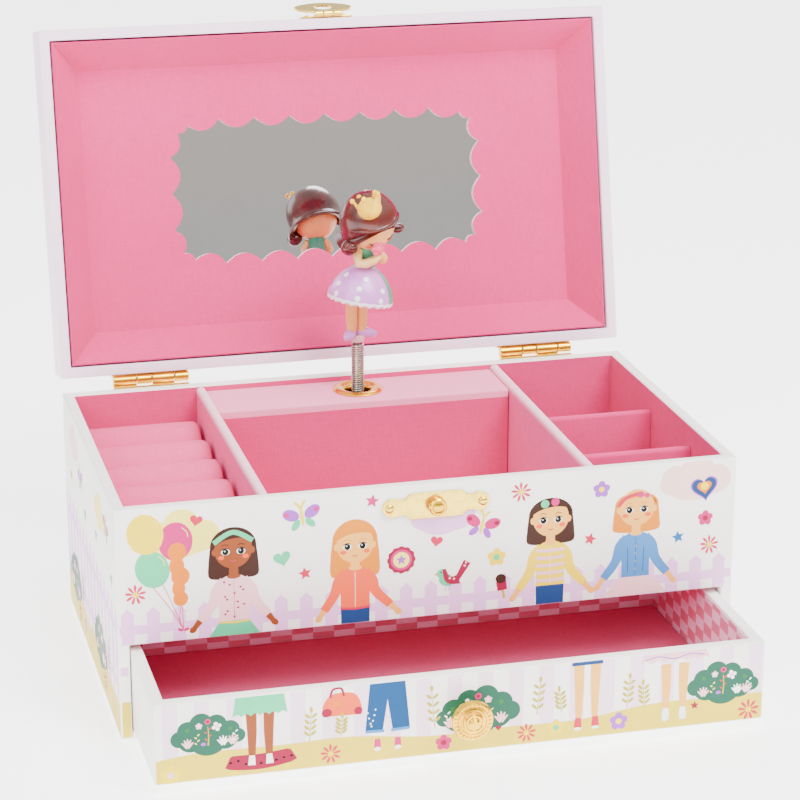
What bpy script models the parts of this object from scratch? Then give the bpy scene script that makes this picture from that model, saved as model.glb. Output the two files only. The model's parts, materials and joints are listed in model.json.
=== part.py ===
"""Ballerina jewellery box: a paper-covered board case with a drawer, a hinged lid with a
mirror, ring rolls and compartments, a musical movement in a closed housing and a dancer that
stands on a coil spring.

All sizes below are millimetres and are turned into metres when a mesh is made.
X points to the right, Y to the back and Z up. The origin is the middle of the base's underside.
The case is drawn with its lid open and its drawer pulled part of the way out.
"""
import math

import bmesh
import bpy
from mathutils import Matrix, Vector

MM = 0.001

# ---------------------------------------------------------------- driving dimensions
CASE_W = 190.0          # outside width of the case
CASE_D = 112.3          # outside depth of the case
CASE_H = 72.3           # height of the case's rim above its underside
BOARD = 3.4             # thickness of the side, front and back boards
FIT = 0.3               # gap between neighbouring pieces
BASE_T = 2.8            # base board
SHELF_T = 3.0           # board under the compartments, over the drawer
OPENING_TOP = 30.1      # top of the drawer opening
DRAWER_H = 24.9         # height of the drawer's walls
DRAWER_D = 90.3         # depth of the drawer
DRAWER_WALL = 3.6
DRAWER_SIDE_GAP = 0.4   # play beside the drawer
DRAWER_FLOOR = 2.0
DRAWER_OUT = 38.0       # how far the drawer is pulled out
LID_H = 17.0            # height of the lid
LID_TOP_T = 2.6
LINING_DEPTH = 12.4     # depth of the lid's sunk panel below its rim
LINING_INSET = 13.4     # distance of the sunk panel from the lid's outside
LINING_T = 0.8
MIRROR_T = 0.8
LID_ANGLE = 102.5       # opening angle of the lid
PIN_BEHIND = 2.0        # hinge pin, behind the case's back
PIN_ABOVE = 2.1         # hinge pin, above the case's rim
DIVIDER_T = 3.0
DIVIDER_LEFT_X = -50.0  # middle of the left divider
DIVIDER_RIGHT_X = 50.1  # middle of the right divider
PARTITION_T = 2.6
PARTITION_TOP = 65.6
PARTITION_YS = (12.2, -25.1)     # middles of the two small partitions
PLATFORM_TOP = 70.3     # top of the movement's housing
PLATFORM_FRONT_Y = 29.8
HOUSING_T = 2.4
ROLL_COUNT = 5
ROLL_PITCH = 18.9
ROLL_W = 18.3
ROLL_TOP = 63.4
ROLL_BACK_Y = 42.1      # middle of the rearmost ring roll
COLLAR_X = 0.4          # the dancer's axis
COLLAR_Y = 42.2
COLLAR_R = 8.2
COLLAR_HOLE_R = 4.3
FOLD_Z = 80.0           # height at which the dancer's spring bends
SPRING_R = 2.1
SPRING_WIRE = 0.62
SPRING_TOP = 86.6
BARREL_R = 10.4         # toothed rim of the movement's spring barrel
BARREL_Z = 47.0
CYLINDER_Y = 42.2
CYLINDER_R = 6.0
MODULE = 0.35           # size of the movement's teeth
WINDOW_Y = -1.2         # middle of the mirror and its window, from the lid's middle
KNOB_OUT = 9.2          # how far the drawer's knob stands out
CATCH_X = 0.6           # middle of the catch and its hasp
CATCH_Z = 65.7
CATCH_T = 0.7
KNOB_R = 2.7            # the catch's knob
HASP_OPEN = 165.0       # how far the hasp's flap is turned back from hanging over the knob
HASP_PIN_Z = 73.9
HASP_PIN_OUT = 1.45     # hasp pin, in front of the lid's face
HASP_REACH = 8.25       # from the hasp's pin to the middle of its slot

# ---------------------------------------------------------------- derived positions
HALF_W = CASE_W / 2
HALF_D = CASE_D / 2
INSIDE_W = HALF_W - BOARD
INSIDE_D = HALF_D - BOARD
SHELF_Z = OPENING_TOP + FIT
FLOOR_Z = SHELF_Z + SHELF_T
LID_Z = CASE_H + FIT
PIN_Y = HALF_D + PIN_BEHIND
PIN_Z = CASE_H + PIN_ABOVE
DRAWER_Z = BASE_T + FIT
DRAWER_HALF_W = INSIDE_W - DRAWER_SIDE_GAP
DRAWER_FRONT_Y = -HALF_D - DRAWER_OUT
DRAWER_BACK_Y = DRAWER_FRONT_Y + DRAWER_D
STOP_Y = -HALF_D + DRAWER_D + FIT       # rear board that the closed drawer meets

# name: (colour, roughness, metallic)
FINISHES = {
    "printed_paper": ((0.93, 0.90, 0.88), 0.45, 0.0),
    "pink_lining": ((0.85, 0.33, 0.48), 0.85, 0.0),
    "pale_lining": ((0.90, 0.62, 0.72), 0.8, 0.0),
    "check_paper": ((0.85, 0.60, 0.68), 0.5, 0.0),
    "brass": ((0.85, 0.62, 0.22), 0.25, 1.0),
    "pale_brass": ((0.90, 0.76, 0.42), 0.3, 1.0),
    "steel": ((0.62, 0.60, 0.57), 0.3, 1.0),
    "mirror": ((0.85, 0.87, 0.88), 0.03, 1.0),
    "dancer_paint": ((0.80, 0.62, 0.80), 0.3, 0.0),
}


def finish(name):
    """The Principled material of one finish, made once."""
    if name in bpy.data.materials:
        return bpy.data.materials[name]
    colour, rough, metal = FINISHES[name]
    mat = bpy.data.materials.new(name)
    mat.use_nodes = True
    shader = mat.node_tree.nodes["Principled BSDF"]
    shader.inputs["Base Color"].default_value = (*colour, 1.0)
    shader.inputs["Roughness"].default_value = rough
    shader.inputs["Metallic"].default_value = metal
    return mat


def clear_scene():
    for obj in list(bpy.data.objects):
        bpy.data.objects.remove(obj, do_unlink=True)


def pivot(name, at, angle=0.0, parent=None):
    """An empty on a joint's axis, turned about X."""
    empty = bpy.data.objects.new(name, None)
    bpy.context.scene.collection.objects.link(empty)
    empty.parent = parent
    base = Vector(parent["at"]) if parent else Vector((0, 0, 0))
    empty.location = (Vector(at) - base) * MM
    empty.rotation_euler = (math.radians(angle), 0, 0)
    empty["at"] = at
    return empty


def add(name, bm, finish_name, parent=None, smooth=False):
    """Make the object of one piece. Its mesh is given in the frame of the closed case."""
    at = Vector(parent["at"]) if parent else Vector((0, 0, 0))
    bmesh.ops.translate(bm, verts=bm.verts, vec=-at)
    bmesh.ops.scale(bm, verts=bm.verts, vec=(MM, MM, MM))
    bmesh.ops.recalc_face_normals(bm, faces=bm.faces)
    mesh = bpy.data.meshes.new(name)
    bm.to_mesh(mesh)
    bm.free()
    if smooth:
        mesh.shade_smooth()
        mesh.set_sharp_from_angle(angle=math.radians(35))
    mesh.materials.append(finish(finish_name))
    obj = bpy.data.objects.new(name, mesh)
    bpy.context.scene.collection.objects.link(obj)
    obj.parent = parent
    return obj


def combine(obj, others, operation="UNION"):
    """Join or cut an object with helper objects, which are left out of the model."""
    for helper in others:
        step = obj.modifiers.new(operation.lower(), "BOOLEAN")
        step.operation = operation
        step.object = helper
        helper.hide_render = True
        helper.display_type = "WIRE"
    return obj


# ---------------------------------------------------------------- shapes
def box_mesh(x, y, z):
    """A box between (low, high) pairs."""
    bm = bmesh.new()
    size = Vector((x[1] - x[0], y[1] - y[0], z[1] - z[0]))
    middle = Vector((x[0] + x[1], y[0] + y[1], z[0] + z[1])) / 2
    bmesh.ops.create_cube(bm, size=1.0, matrix=Matrix.Translation(middle) @ Matrix.Diagonal(size).to_4x4())
    return bm


def board(name, x, y, z, finish_name, parent=None):
    return add(name, box_mesh(x, y, z), finish_name, parent)


def soft_board(name, x, y, z, finish_name, round_along, radius):
    """A covered board whose two top edges, along one axis, are rounded."""
    bm = box_mesh(x, y, z)
    top = [e for e in bm.edges if all(v.co.z > z[1] - 0.01 for v in e.verts)
           and abs((e.verts[0].co - e.verts[1].co).normalized()[round_along]) > 0.9]
    bmesh.ops.bevel(bm, geom=top, offset=radius, segments=3, profile=0.5, affect="EDGES", material=-1)
    return add(name, bm, finish_name)


def turned_mesh(profile, steps, axis="Z", at=(0, 0, 0)):
    """Spin a profile of (radius, height) points about an axis through a point. It is closed,
    unless it starts and ends on the axis."""
    bm = bmesh.new()
    points = [bm.verts.new((r, 0, h)) for r, h in profile]
    links = list(zip(points, points[1:]))
    if profile[0][0] > 0 or profile[-1][0] > 0:
        links.append((points[-1], points[0]))
    edges = [bm.edges.new(link) for link in links]
    bmesh.ops.spin(bm, geom=points + edges, cent=(0, 0, 0), axis=(0, 0, 1), angle=math.tau,
                   steps=steps, use_merge=True)
    bmesh.ops.remove_doubles(bm, verts=bm.verts, dist=1e-4)
    turn = {"Z": Matrix.Identity(4), "X": Matrix.Rotation(math.pi / 2, 4, "Y"),
            "Y": Matrix.Rotation(math.pi / 2, 4, "X")}[axis]
    bmesh.ops.transform(bm, matrix=Matrix.Translation(at) @ turn, verts=bm.verts)
    return bm


def round_mesh(outer, low, high, steps=24, axis="Z", at=(0, 0, 0), hole=0.0):
    """A plain disc, rod or tube."""
    if hole > 0:
        profile = [(hole, low), (outer, low), (outer, high), (hole, high)]
        return turned_mesh(profile, steps, axis, at)
    bm = bmesh.new()
    turn = {"Z": Matrix.Identity(4), "X": Matrix.Rotation(math.pi / 2, 4, "Y"),
            "Y": Matrix.Rotation(math.pi / 2, 4, "X")}[axis]
    shift = Matrix.Translation((0, 0, (low + high) / 2))
    bmesh.ops.create_cone(bm, cap_ends=True, segments=steps, radius1=outer, radius2=outer,
                          depth=high - low, matrix=Matrix.Translation(at) @ turn @ shift)
    return bm


def plate_mesh(outline, low, high, axis="Z", at=(0, 0, 0), holes=()):
    """A flat plate of any outline, with holes, from one height to another along an axis."""
    bm = bmesh.new()
    loops = []
    for loop in (outline, *holes):
        points = [bm.verts.new((u, v, low)) for u, v in loop]
        loops += [bm.edges.new((points[i], points[(i + 1) % len(points)])) for i in range(len(points))]
    bmesh.ops.triangle_fill(bm, use_beauty=True, use_dissolve=False, edges=loops)
    faces = list(bm.faces)
    grown = bmesh.ops.extrude_face_region(bm, geom=faces, use_keep_orig=True)
    lifted = [g for g in grown["geom"] if isinstance(g, bmesh.types.BMVert)]
    bmesh.ops.translate(bm, verts=lifted, vec=(0, 0, high - low))
    quarter = math.pi / 2
    turn = {"Z": Matrix.Identity(4),
            "X": Matrix.Rotation(quarter, 4, "Y") @ Matrix.Rotation(quarter, 4, "Z"),
            "Y": Matrix.Rotation(quarter, 4, "X")}[axis]
    bmesh.ops.transform(bm, matrix=Matrix.Translation(at) @ turn, verts=bm.verts)
    bmesh.ops.recalc_face_normals(bm, faces=bm.faces)
    return bm


def circle(radius, steps, cx=0.0, cy=0.0):
    turns = [math.tau * i / steps for i in range(steps)]
    return [(cx + radius * math.cos(a), cy + radius * math.sin(a)) for a in turns]


def gear_outline(teeth, module, phase=0.0):
    """A toothed rim. The teeth are slim, so that a meshed pair keeps its play at every turn."""
    pitch_r = teeth * module / 2
    root, tip = pitch_r - 1.15 * module, pitch_r + 0.6 * module
    step = math.tau / teeth
    points = []
    for i in range(teeth):
        middle = i * step + phase
        for share, radius in ((-0.27, root), (-0.11, tip), (0.11, tip), (0.27, root)):
            angle = middle + share * step
            points.append((radius * math.cos(angle), radius * math.sin(angle)))
    return points


def helper(bm, parent=None):
    return add("helper", bm, "steel", parent)


# ---------------------------------------------------------------- case
def build_case():
    for side, name in ((-1, "side_panel_left"), (1, "side_panel_right")):
        x = sorted((side * HALF_W, side * INSIDE_W))
        board(name, x, (-HALF_D, HALF_D), (0, CASE_H), "printed_paper")
    inner = INSIDE_W - FIT
    board("base_board", (-inner, inner), (-HALF_D, INSIDE_D - FIT), (0, BASE_T), "printed_paper")
    board("front_panel", (-inner, inner), (-HALF_D, -INSIDE_D), (OPENING_TOP, CASE_H), "printed_paper")
    back = board("back_panel", (-inner, inner), (INSIDE_D, HALF_D), (0, CASE_H), "printed_paper")
    key_hole = helper(round_mesh(2.6, -10, 10, 20, "Y", (COLLAR_X, HALF_D, BARREL_Z)))
    combine(back, [key_hole], "DIFFERENCE")
    board("mid_shelf", (-inner, inner), (-INSIDE_D + FIT, INSIDE_D - FIT), (SHELF_Z, FLOOR_Z), "pink_lining")
    board("drawer_stop_board", (-inner, inner), (STOP_Y, STOP_Y + SHELF_T),
          (BASE_T + FIT, OPENING_TOP), "printed_paper")


def build_compartments():
    y_wall = INSIDE_D - FIT
    divider_top = CASE_H - 0.5
    for name, x in (("divider_left", DIVIDER_LEFT_X), ("divider_right", DIVIDER_RIGHT_X)):
        soft_board(name, (x - DIVIDER_T / 2, x + DIVIDER_T / 2), (-y_wall, y_wall),
                   (FLOOR_Z + FIT, divider_top), "pink_lining", 1, 1.2)
    left = DIVIDER_RIGHT_X + DIVIDER_T / 2 + FIT
    for name, y in zip(("partition_rear", "partition_front"), PARTITION_YS):
        soft_board(name, (left, INSIDE_W - FIT), (y - PARTITION_T / 2, y + PARTITION_T / 2),
                   (FLOOR_Z + FIT, PARTITION_TOP), "pink_lining", 0, 1.1)
    roll_left, roll_right = -INSIDE_W + 0.8, DIVIDER_LEFT_X - DIVIDER_T / 2 - 1.4
    radius = ROLL_W / 2
    for i in range(ROLL_COUNT):
        y = ROLL_BACK_Y - i * ROLL_PITCH
        arc = [(y + radius * math.cos(a), ROLL_TOP - radius + radius * math.sin(a))
               for a in (math.pi * k / 12 for k in range(13))]
        outline = [(y - radius, FLOOR_Z + FIT), (y + radius, FLOOR_Z + FIT), *arc]
        add(f"ring_roll_{i + 1}", plate_mesh(outline, roll_left, roll_right, "X"), "pink_lining", smooth=True)


def build_housing():
    left = DIVIDER_LEFT_X + DIVIDER_T / 2 + FIT
    right = DIVIDER_RIGHT_X - DIVIDER_T / 2 - FIT
    under = PLATFORM_TOP - HOUSING_T
    board("housing_front", (left, right), (PLATFORM_FRONT_Y, PLATFORM_FRONT_Y + HOUSING_T),
          (FLOOR_Z + FIT, under - FIT), "pink_lining")
    top = board("housing_top", (left, right), (PLATFORM_FRONT_Y, INSIDE_D - FIT), (under, PLATFORM_TOP),
                "pale_lining")
    bore = helper(round_mesh(COLLAR_HOLE_R + 1.0, 50, 90, 32, "Z", (COLLAR_X, COLLAR_Y, 0)))
    combine(top, [bore], "DIFFERENCE")
    lip, seat = 0.25, PLATFORM_TOP + 0.1
    collar = [(COLLAR_HOLE_R, under - 0.4), (COLLAR_HOLE_R + 0.6, under - 0.4), (COLLAR_HOLE_R + 0.6, seat),
              (COLLAR_R, seat), (COLLAR_R - 0.2, seat + 0.5), (COLLAR_R - 1.4, seat + 1.0),
              (COLLAR_HOLE_R + 1.4, seat + 0.9), (COLLAR_HOLE_R + lip, seat + 0.5), (COLLAR_HOLE_R, seat)]
    add("spring_collar", turned_mesh(collar, 32, "Z", (COLLAR_X, COLLAR_Y, 0)), "brass", smooth=True)


# ---------------------------------------------------------------- musical movement
def build_movement():
    plate_back = INSIDE_D - FIT
    plate_front = plate_back - 1.2
    x0, x1 = COLLAR_X - 13.0, COLLAR_X + 42.0
    plate = add("movement_bedplate", box_mesh((x0, x1), (plate_front, plate_back), (35.0, 66.0)),
                "steel")
    centre = (COLLAR_X, 0, BARREL_Z)
    arbor_hole = helper(round_mesh(2.2, -80, 80, 16, "Y", centre))
    combine(plate, [arbor_hole], "DIFFERENCE")

    # spring barrel: a drum with a toothed rim at its front, free to turn on the key's arbor
    drum_front, drum_back = 35.4, plate_front - 0.8
    drum = round_mesh(9.0, -drum_back, -drum_front, 24, "Y", centre, hole=1.9)
    barrel = add("spring_barrel", drum, "brass")
    teeth = round(2 * BARREL_R / 0.5)
    rim = gear_outline(teeth, 0.5)
    ring = plate_mesh(rim, -drum_front - 2.0, -drum_front + 0.4, "Y", centre, holes=[circle(1.9, 16)])
    combine(barrel, [helper(ring)])

    # winding key: a threaded arbor through the back panel, with two flat wings outside
    key_pivot_y = HALF_D + 2.0
    key = add("winding_key", round_mesh(1.5, -key_pivot_y - 6.0, -34.0, 16, "Y", centre), "steel")
    boss = helper(round_mesh(2.4, -key_pivot_y - 7.0, -key_pivot_y, 20, "Y", centre))
    wing_outline = [(7.2 * math.cos(a) * (1.0 + 0.15 * math.cos(2 * a)), 4.2 * math.sin(a))
                    for a in (math.tau * k / 24 for k in range(24))]
    wings = plate_mesh(wing_outline, -0.8, 0.8, "Z", (COLLAR_X, key_pivot_y + 8.5, BARREL_Z))
    combine(key, [boss, helper(wings)])

    # pinned cylinder: it turns along X, driven by the barrel's rim through its end disc
    axis = (0, CYLINDER_Y, BARREL_Z)
    disc_left = COLLAR_X + BARREL_R + 0.5 + 0.4
    body_left, body_right = disc_left + 2.4, disc_left + 17.6
    cylinder = add("pinned_cylinder", round_mesh(CYLINDER_R, body_left, body_right, 24, "X", axis), "brass")
    disc = helper(round_mesh(7.2, disc_left, disc_left + 1.0, 24, "X", axis))
    shaft = helper(round_mesh(0.6, disc_left - 0.0, body_right + 8.0, 10, "X", axis))
    wheel = helper(plate_mesh(gear_outline(36, MODULE), body_right + 1.0, body_right + 2.0, "X", axis))
    combine(cylinder, [disc, shaft, wheel])
    pins = bmesh.new()
    for row in range(6):
        for k in range(5):
            angle = math.tau * (k + 0.35 * row) / 5
            x = body_left + 1.6 + row * 2.4
            out_y, out_z = CYLINDER_R * math.cos(angle), CYLINDER_R * math.sin(angle)
            spot = Vector((x, CYLINDER_Y + out_y, BARREL_Z + out_z))
            turn = Matrix.Rotation(angle - math.pi / 2, 4, "X")
            bmesh.ops.create_cube(pins, size=0.5, matrix=Matrix.Translation(spot) @ turn)
    combine(cylinder, [helper(pins)])

    # steel comb: teeth point down at the cylinder, the heel is screwed to a block on the bedplate
    tip_z, root_z, heel_z = BARREL_Z + CYLINDER_R + 0.6, BARREL_Z + 11.5, BARREL_Z + 16.5
    count = 12
    tooth_pitch = (body_right - body_left) / count
    outline = [(body_left, heel_z), (body_left, root_z)]
    for i in range(count):
        x = body_left + i * tooth_pitch
        outline += [(x + 0.15, root_z), (x + 0.15, tip_z), (x + tooth_pitch - 0.15, tip_z),
                    (x + tooth_pitch - 0.15, root_z)]
    outline += [(body_right, root_z), (body_right, heel_z)]
    comb_y = CYLINDER_Y
    comb = add("comb", plate_mesh([(x, z) for x, z in outline], -comb_y - 0.4, -comb_y + 0.4, "Y"), "steel")
    block = helper(box_mesh((body_left + 1, body_right - 1), (comb_y + 0.7, plate_front + 0.5),
                            (root_z + 0.6, heel_z)))
    ear_x = body_right + 3.0
    ear = helper(box_mesh((ear_x, ear_x + 1.2), (CYLINDER_Y - 3, plate_front + 0.5),
                          (BARREL_Z - 3, BARREL_Z + 14.0)))
    combine(plate, [block, ear])
    train_z = BARREL_Z + (36 + 12) * MODULE / 2
    shaft_hole = helper(round_mesh(0.95, ear_x - 5, ear_x + 5, 12, "X", axis))
    train_hole = helper(round_mesh(0.95, ear_x - 5, ear_x + 5, 12, "X", (0, CYLINDER_Y, train_z)))
    combine(plate, [shaft_hole, train_hole], "DIFFERENCE")

    # train wheel: its pinion meshes with the cylinder's wheel, its disc drives the governor
    pinion = plate_mesh(gear_outline(12, MODULE, math.pi / 12), body_right + 0.8, body_right + 2.2, "X",
                        (0, CYLINDER_Y, train_z))
    train = add("train_wheel", pinion, "brass")
    train_shaft = helper(round_mesh(0.6, body_right + 0.9, ear_x + 8.0, 10, "X", (0, CYLINDER_Y, train_z)))
    disc = plate_mesh(gear_outline(18, 0.5), ear_x + 3.6, ear_x + 4.6, "X", (0, CYLINDER_Y, train_z))
    train_disc = helper(disc)
    combine(train, [train_shaft, train_disc])

    # governor: an upright worm with an air brake below it
    worm_x, worm_y = ear_x + 4.1, CYLINDER_Y - 18 * 0.5 / 2 - 1.9
    worm = []
    turns, low = 8, train_z - 3.2
    for i in range(turns):
        z = low + i * 0.8
        worm += [(1.0, z), (1.3, z + 0.4)]
    profile = [(0.0, 36.0), (0.6, 36.0), (0.6, low), *worm, (0.6, low + turns * 0.8), (0.6, 65.0),
               (0.0, 65.0)]
    governor = add("governor", turned_mesh(profile, 12, "Z", (worm_x, worm_y, 0)), "steel")
    fly = helper(box_mesh((worm_x - 3.4, worm_x + 3.4), (worm_y - 0.3, worm_y + 0.3), (38.0, 45.0)))
    combine(governor, [fly])

    # dancer's spindle: an upright stud under the collar, turned by the barrel's rim
    spindle_low = BARREL_Z + BARREL_R + 0.5 + 0.3
    spindle = add("dancer_spindle", round_mesh(8.2, spindle_low, spindle_low + 1.2, 24, "Z",
                                               (COLLAR_X, COLLAR_Y, 0)), "brass")
    stud = helper(round_mesh(1.2, spindle_low + 0.5, PLATFORM_TOP + 1.2, 16, "Z", (COLLAR_X, COLLAR_Y, 0)))
    combine(spindle, [stud])


# ---------------------------------------------------------------- drawer
def build_drawer():
    z = (DRAWER_Z, DRAWER_Z + DRAWER_H)
    x = (-DRAWER_HALF_W, DRAWER_HALF_W)
    inner_x = DRAWER_HALF_W - DRAWER_WALL - FIT
    front = board("drawer_front", x, (DRAWER_FRONT_Y, DRAWER_FRONT_Y + DRAWER_WALL), z, "printed_paper")
    knob_z = DRAWER_Z + DRAWER_H / 2
    screw_y = DRAWER_FRONT_Y + DRAWER_WALL
    combine(front, [helper(round_mesh(1.9, -screw_y - 2, -DRAWER_FRONT_Y + 2, 16, "Y", (0, 0, knob_z)))],
            "DIFFERENCE")
    board("drawer_back", (-inner_x, inner_x), (DRAWER_BACK_Y - DRAWER_WALL, DRAWER_BACK_Y), z, "check_paper")
    side_y = (DRAWER_FRONT_Y + DRAWER_WALL + FIT, DRAWER_BACK_Y)
    for side, name in ((-1, "drawer_side_left"), (1, "drawer_side_right")):
        sx = sorted((side * DRAWER_HALF_W, side * (DRAWER_HALF_W - DRAWER_WALL)))
        board(name, sx, side_y, z, "check_paper")
    board("drawer_bottom", (-inner_x, inner_x), (side_y[0], DRAWER_BACK_Y - DRAWER_WALL - FIT),
          (DRAWER_Z, DRAWER_Z + DRAWER_FLOOR), "pink_lining")
    out = -DRAWER_FRONT_Y
    head = out + KNOB_OUT
    knob = [(0.0, out + 3.2), (1.6, out + 3.2), (1.6, out + 0.3), (3.6, out + 0.3), (3.4, out + 1.0),
            (2.4, out + 1.8), (2.6, out + 2.8), (5.4, head - 4.8), (6.2, head - 3.4), (5.9, head - 2.3),
            (4.6, head - 1.6), (2.8, head - 1.8), (2.4, head - 0.9), (1.4, head - 0.2), (0.0, head)]
    add("drawer_knob", turned_mesh(knob, 28, "Y", (0, 0, knob_z)), "brass", smooth=True)
    inside = -(DRAWER_FRONT_Y + DRAWER_WALL)
    screw = [(0.0, inside - 1.9), (2.2, inside - 1.6), (3.0, inside - 0.3), (1.3, inside - 0.3),
             (1.3, out + 2.9), (0.0, out + 2.9)]
    add("drawer_knob_screw", turned_mesh(screw, 16, "Y", (0, 0, knob_z)), "steel", smooth=True)


# ---------------------------------------------------------------- lid
def arc_between(a, b, bulge, steps):
    """Points from a towards b on a shallow arc that bulges towards the middle of the lid."""
    a, b = Vector(a), Vector(b)
    chord = b - a
    normal = Vector((-chord.y, chord.x)).normalized()
    if normal.dot((a + b) / 2) > 0:
        normal = -normal
    points = []
    for i in range(steps):
        t = i / steps
        points.append(tuple(a + chord * t + normal * bulge * 4 * t * (1 - t)))
    return points


def scalloped_outline(steps=5):
    """The window over the mirror: lobes point inwards and meet in cusps, 12 mm apart."""
    pitch, half_h, half_w = 12.0, 24.0, 53.0
    row = [(-3 * pitch + i * pitch, -half_h) for i in range(7)]
    corner = [(46.6, -22.3), (50.2, -19.9)]
    quarter = corner + [(half_w, -pitch)]
    half = row + quarter + [(half_w, 0.0)] + [(x, -y) for x, y in reversed(quarter)]
    cusps = half + [(-x, -y) for x, y in half]
    unique = [p for i, p in enumerate(cusps) if p != cusps[i - 1]]
    outline = []
    for i, a in enumerate(unique):
        b = unique[(i + 1) % len(unique)]
        length = math.dist(a, b)
        outline += arc_between(a, b, 0.26 * length, steps if length > 6 else 2)
    return outline


def lid_lining_mesh():
    """The slanted pink tray inside the lid: four sloping walls and a panel with the window."""
    deep_x, deep_y = HALF_W - LINING_INSET, HALF_D - LINING_INSET
    z_rim, z_deep = LID_Z + 0.5, LID_Z + LINING_DEPTH
    slope = (LINING_INSET - BOARD) / (z_deep - z_rim)
    rim_inset = BOARD + FIT + LINING_T * math.hypot(1, slope)
    rim_x, rim_y = HALF_W - rim_inset, HALF_D - rim_inset
    bm = bmesh.new()
    corners = ((-1, -1), (1, -1), (1, 1), (-1, 1))
    rim = [bm.verts.new((sx * rim_x, sy * rim_y, z_rim)) for sx, sy in corners]
    deep = [bm.verts.new((sx * deep_x, sy * deep_y, z_deep)) for sx, sy in corners]
    for i in range(4):
        j = (i + 1) % 4
        bm.faces.new((rim[i], rim[j], deep[j], deep[i]))
    window = [bm.verts.new((x, y + WINDOW_Y, z_deep)) for x, y in scalloped_outline()]
    loops = [bm.edges.new((window[i], window[(i + 1) % len(window)])) for i in range(len(window))]
    loops += [bm.edges.get((deep[i], deep[(i + 1) % 4])) for i in range(4)]
    bmesh.ops.triangle_fill(bm, use_beauty=True, use_dissolve=False, edges=loops)
    bmesh.ops.recalc_face_normals(bm, faces=bm.faces)
    panel = [f for f in bm.faces if abs(f.normal.z) > 0.9]
    if panel[0].normal.z > 0:
        bmesh.ops.reverse_faces(bm, faces=bm.faces)
    bmesh.ops.solidify(bm, geom=list(bm.faces), thickness=LINING_T)
    return bm


def build_lid():
    hinge_line = pivot("lid_pivot", (0, PIN_Y, PIN_Z), -LID_ANGLE)
    low, high = LID_Z, LID_Z + LID_H - LID_TOP_T - FIT
    inner = INSIDE_W - FIT
    for side, name in ((-1, "lid_side_left"), (1, "lid_side_right")):
        x = sorted((side * HALF_W, side * INSIDE_W))
        board(name, x, (-HALF_D, HALF_D), (low, high), "printed_paper", hinge_line)
    board("lid_front", (-inner, inner), (-HALF_D, -INSIDE_D), (low, high), "printed_paper", hinge_line)
    board("lid_back", (-inner, inner), (INSIDE_D, HALF_D), (low, high), "printed_paper", hinge_line)
    board("lid_top", (-HALF_W, HALF_W), (-HALF_D, HALF_D), (high + FIT, high + FIT + LID_TOP_T),
          "printed_paper", hinge_line)
    add("lid_lining", lid_lining_mesh(), "pink_lining", hinge_line)
    mirror_z = LID_Z + LINING_DEPTH + LINING_T + 0.2
    board("mirror", (-58.0, 58.0), (WINDOW_Y - 29.0, WINDOW_Y + 29.0), (mirror_z, mirror_z + MIRROR_T),
          "mirror", hinge_line)
    return hinge_line


# ---------------------------------------------------------------- hinges
def build_hinges(hinge_line):
    """Two butt hinges behind the rim. Their leaves are let in under the covering paper."""
    barrel_r, bore_r, pin_r, length, leaf_t = 1.7, 0.8, 0.7, 25.0, 0.9
    knuckles = (("case", 0.0, 0.30), ("lid", 0.31, 0.50), ("case", 0.51, 0.80), ("lid", 0.81, 1.0))
    for side, middle in (("left", -65.6), ("right", 66.0)):
        start = middle - length / 2
        for owner, parent in (("case", None), ("lid", hinge_line)):
            tubes = []
            for name, t0, t1 in knuckles:
                if name == owner:
                    tubes.append(round_mesh(barrel_r, start + t0 * length, start + t1 * length, 16, "X",
                                            (0, PIN_Y, PIN_Z), hole=bore_r))
            leaf_y = (HALF_D + 0.15, HALF_D + 0.15 + leaf_t)
            leaf_z = (PIN_Z - 12.0, PIN_Z - 1.9) if owner == "case" else (PIN_Z + 1.9, PIN_Z + 11.0)
            flat = box_mesh((start, start + length), leaf_y, leaf_z)
            leaf = add(f"hinge_{side}_{owner}_leaf", flat, "brass", parent)
            # a bent web joins the flat leaf to each of its knuckles
            web_z = (PIN_Z - 2.6, PIN_Z - 0.9) if owner == "case" else (PIN_Z + 0.9, PIN_Z + 2.6)
            webs = []
            for name, t0, t1 in knuckles:
                if name == owner:
                    webs.append(box_mesh((start + t0 * length, start + t1 * length),
                                         (HALF_D + 0.15, PIN_Y + 0.6), web_z))
            combine(leaf, [helper(m, parent) for m in webs + tubes])
            bore = round_mesh(bore_r, start - 1, start + length + 1, 16, "X", (0, PIN_Y, PIN_Z))
            combine(leaf, [helper(bore, parent)], "DIFFERENCE")
        pin = round_mesh(pin_r, start, start + length, 12, "X", (0, PIN_Y, PIN_Z))
        add(f"hinge_{side}_pin", pin, "steel")


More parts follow.
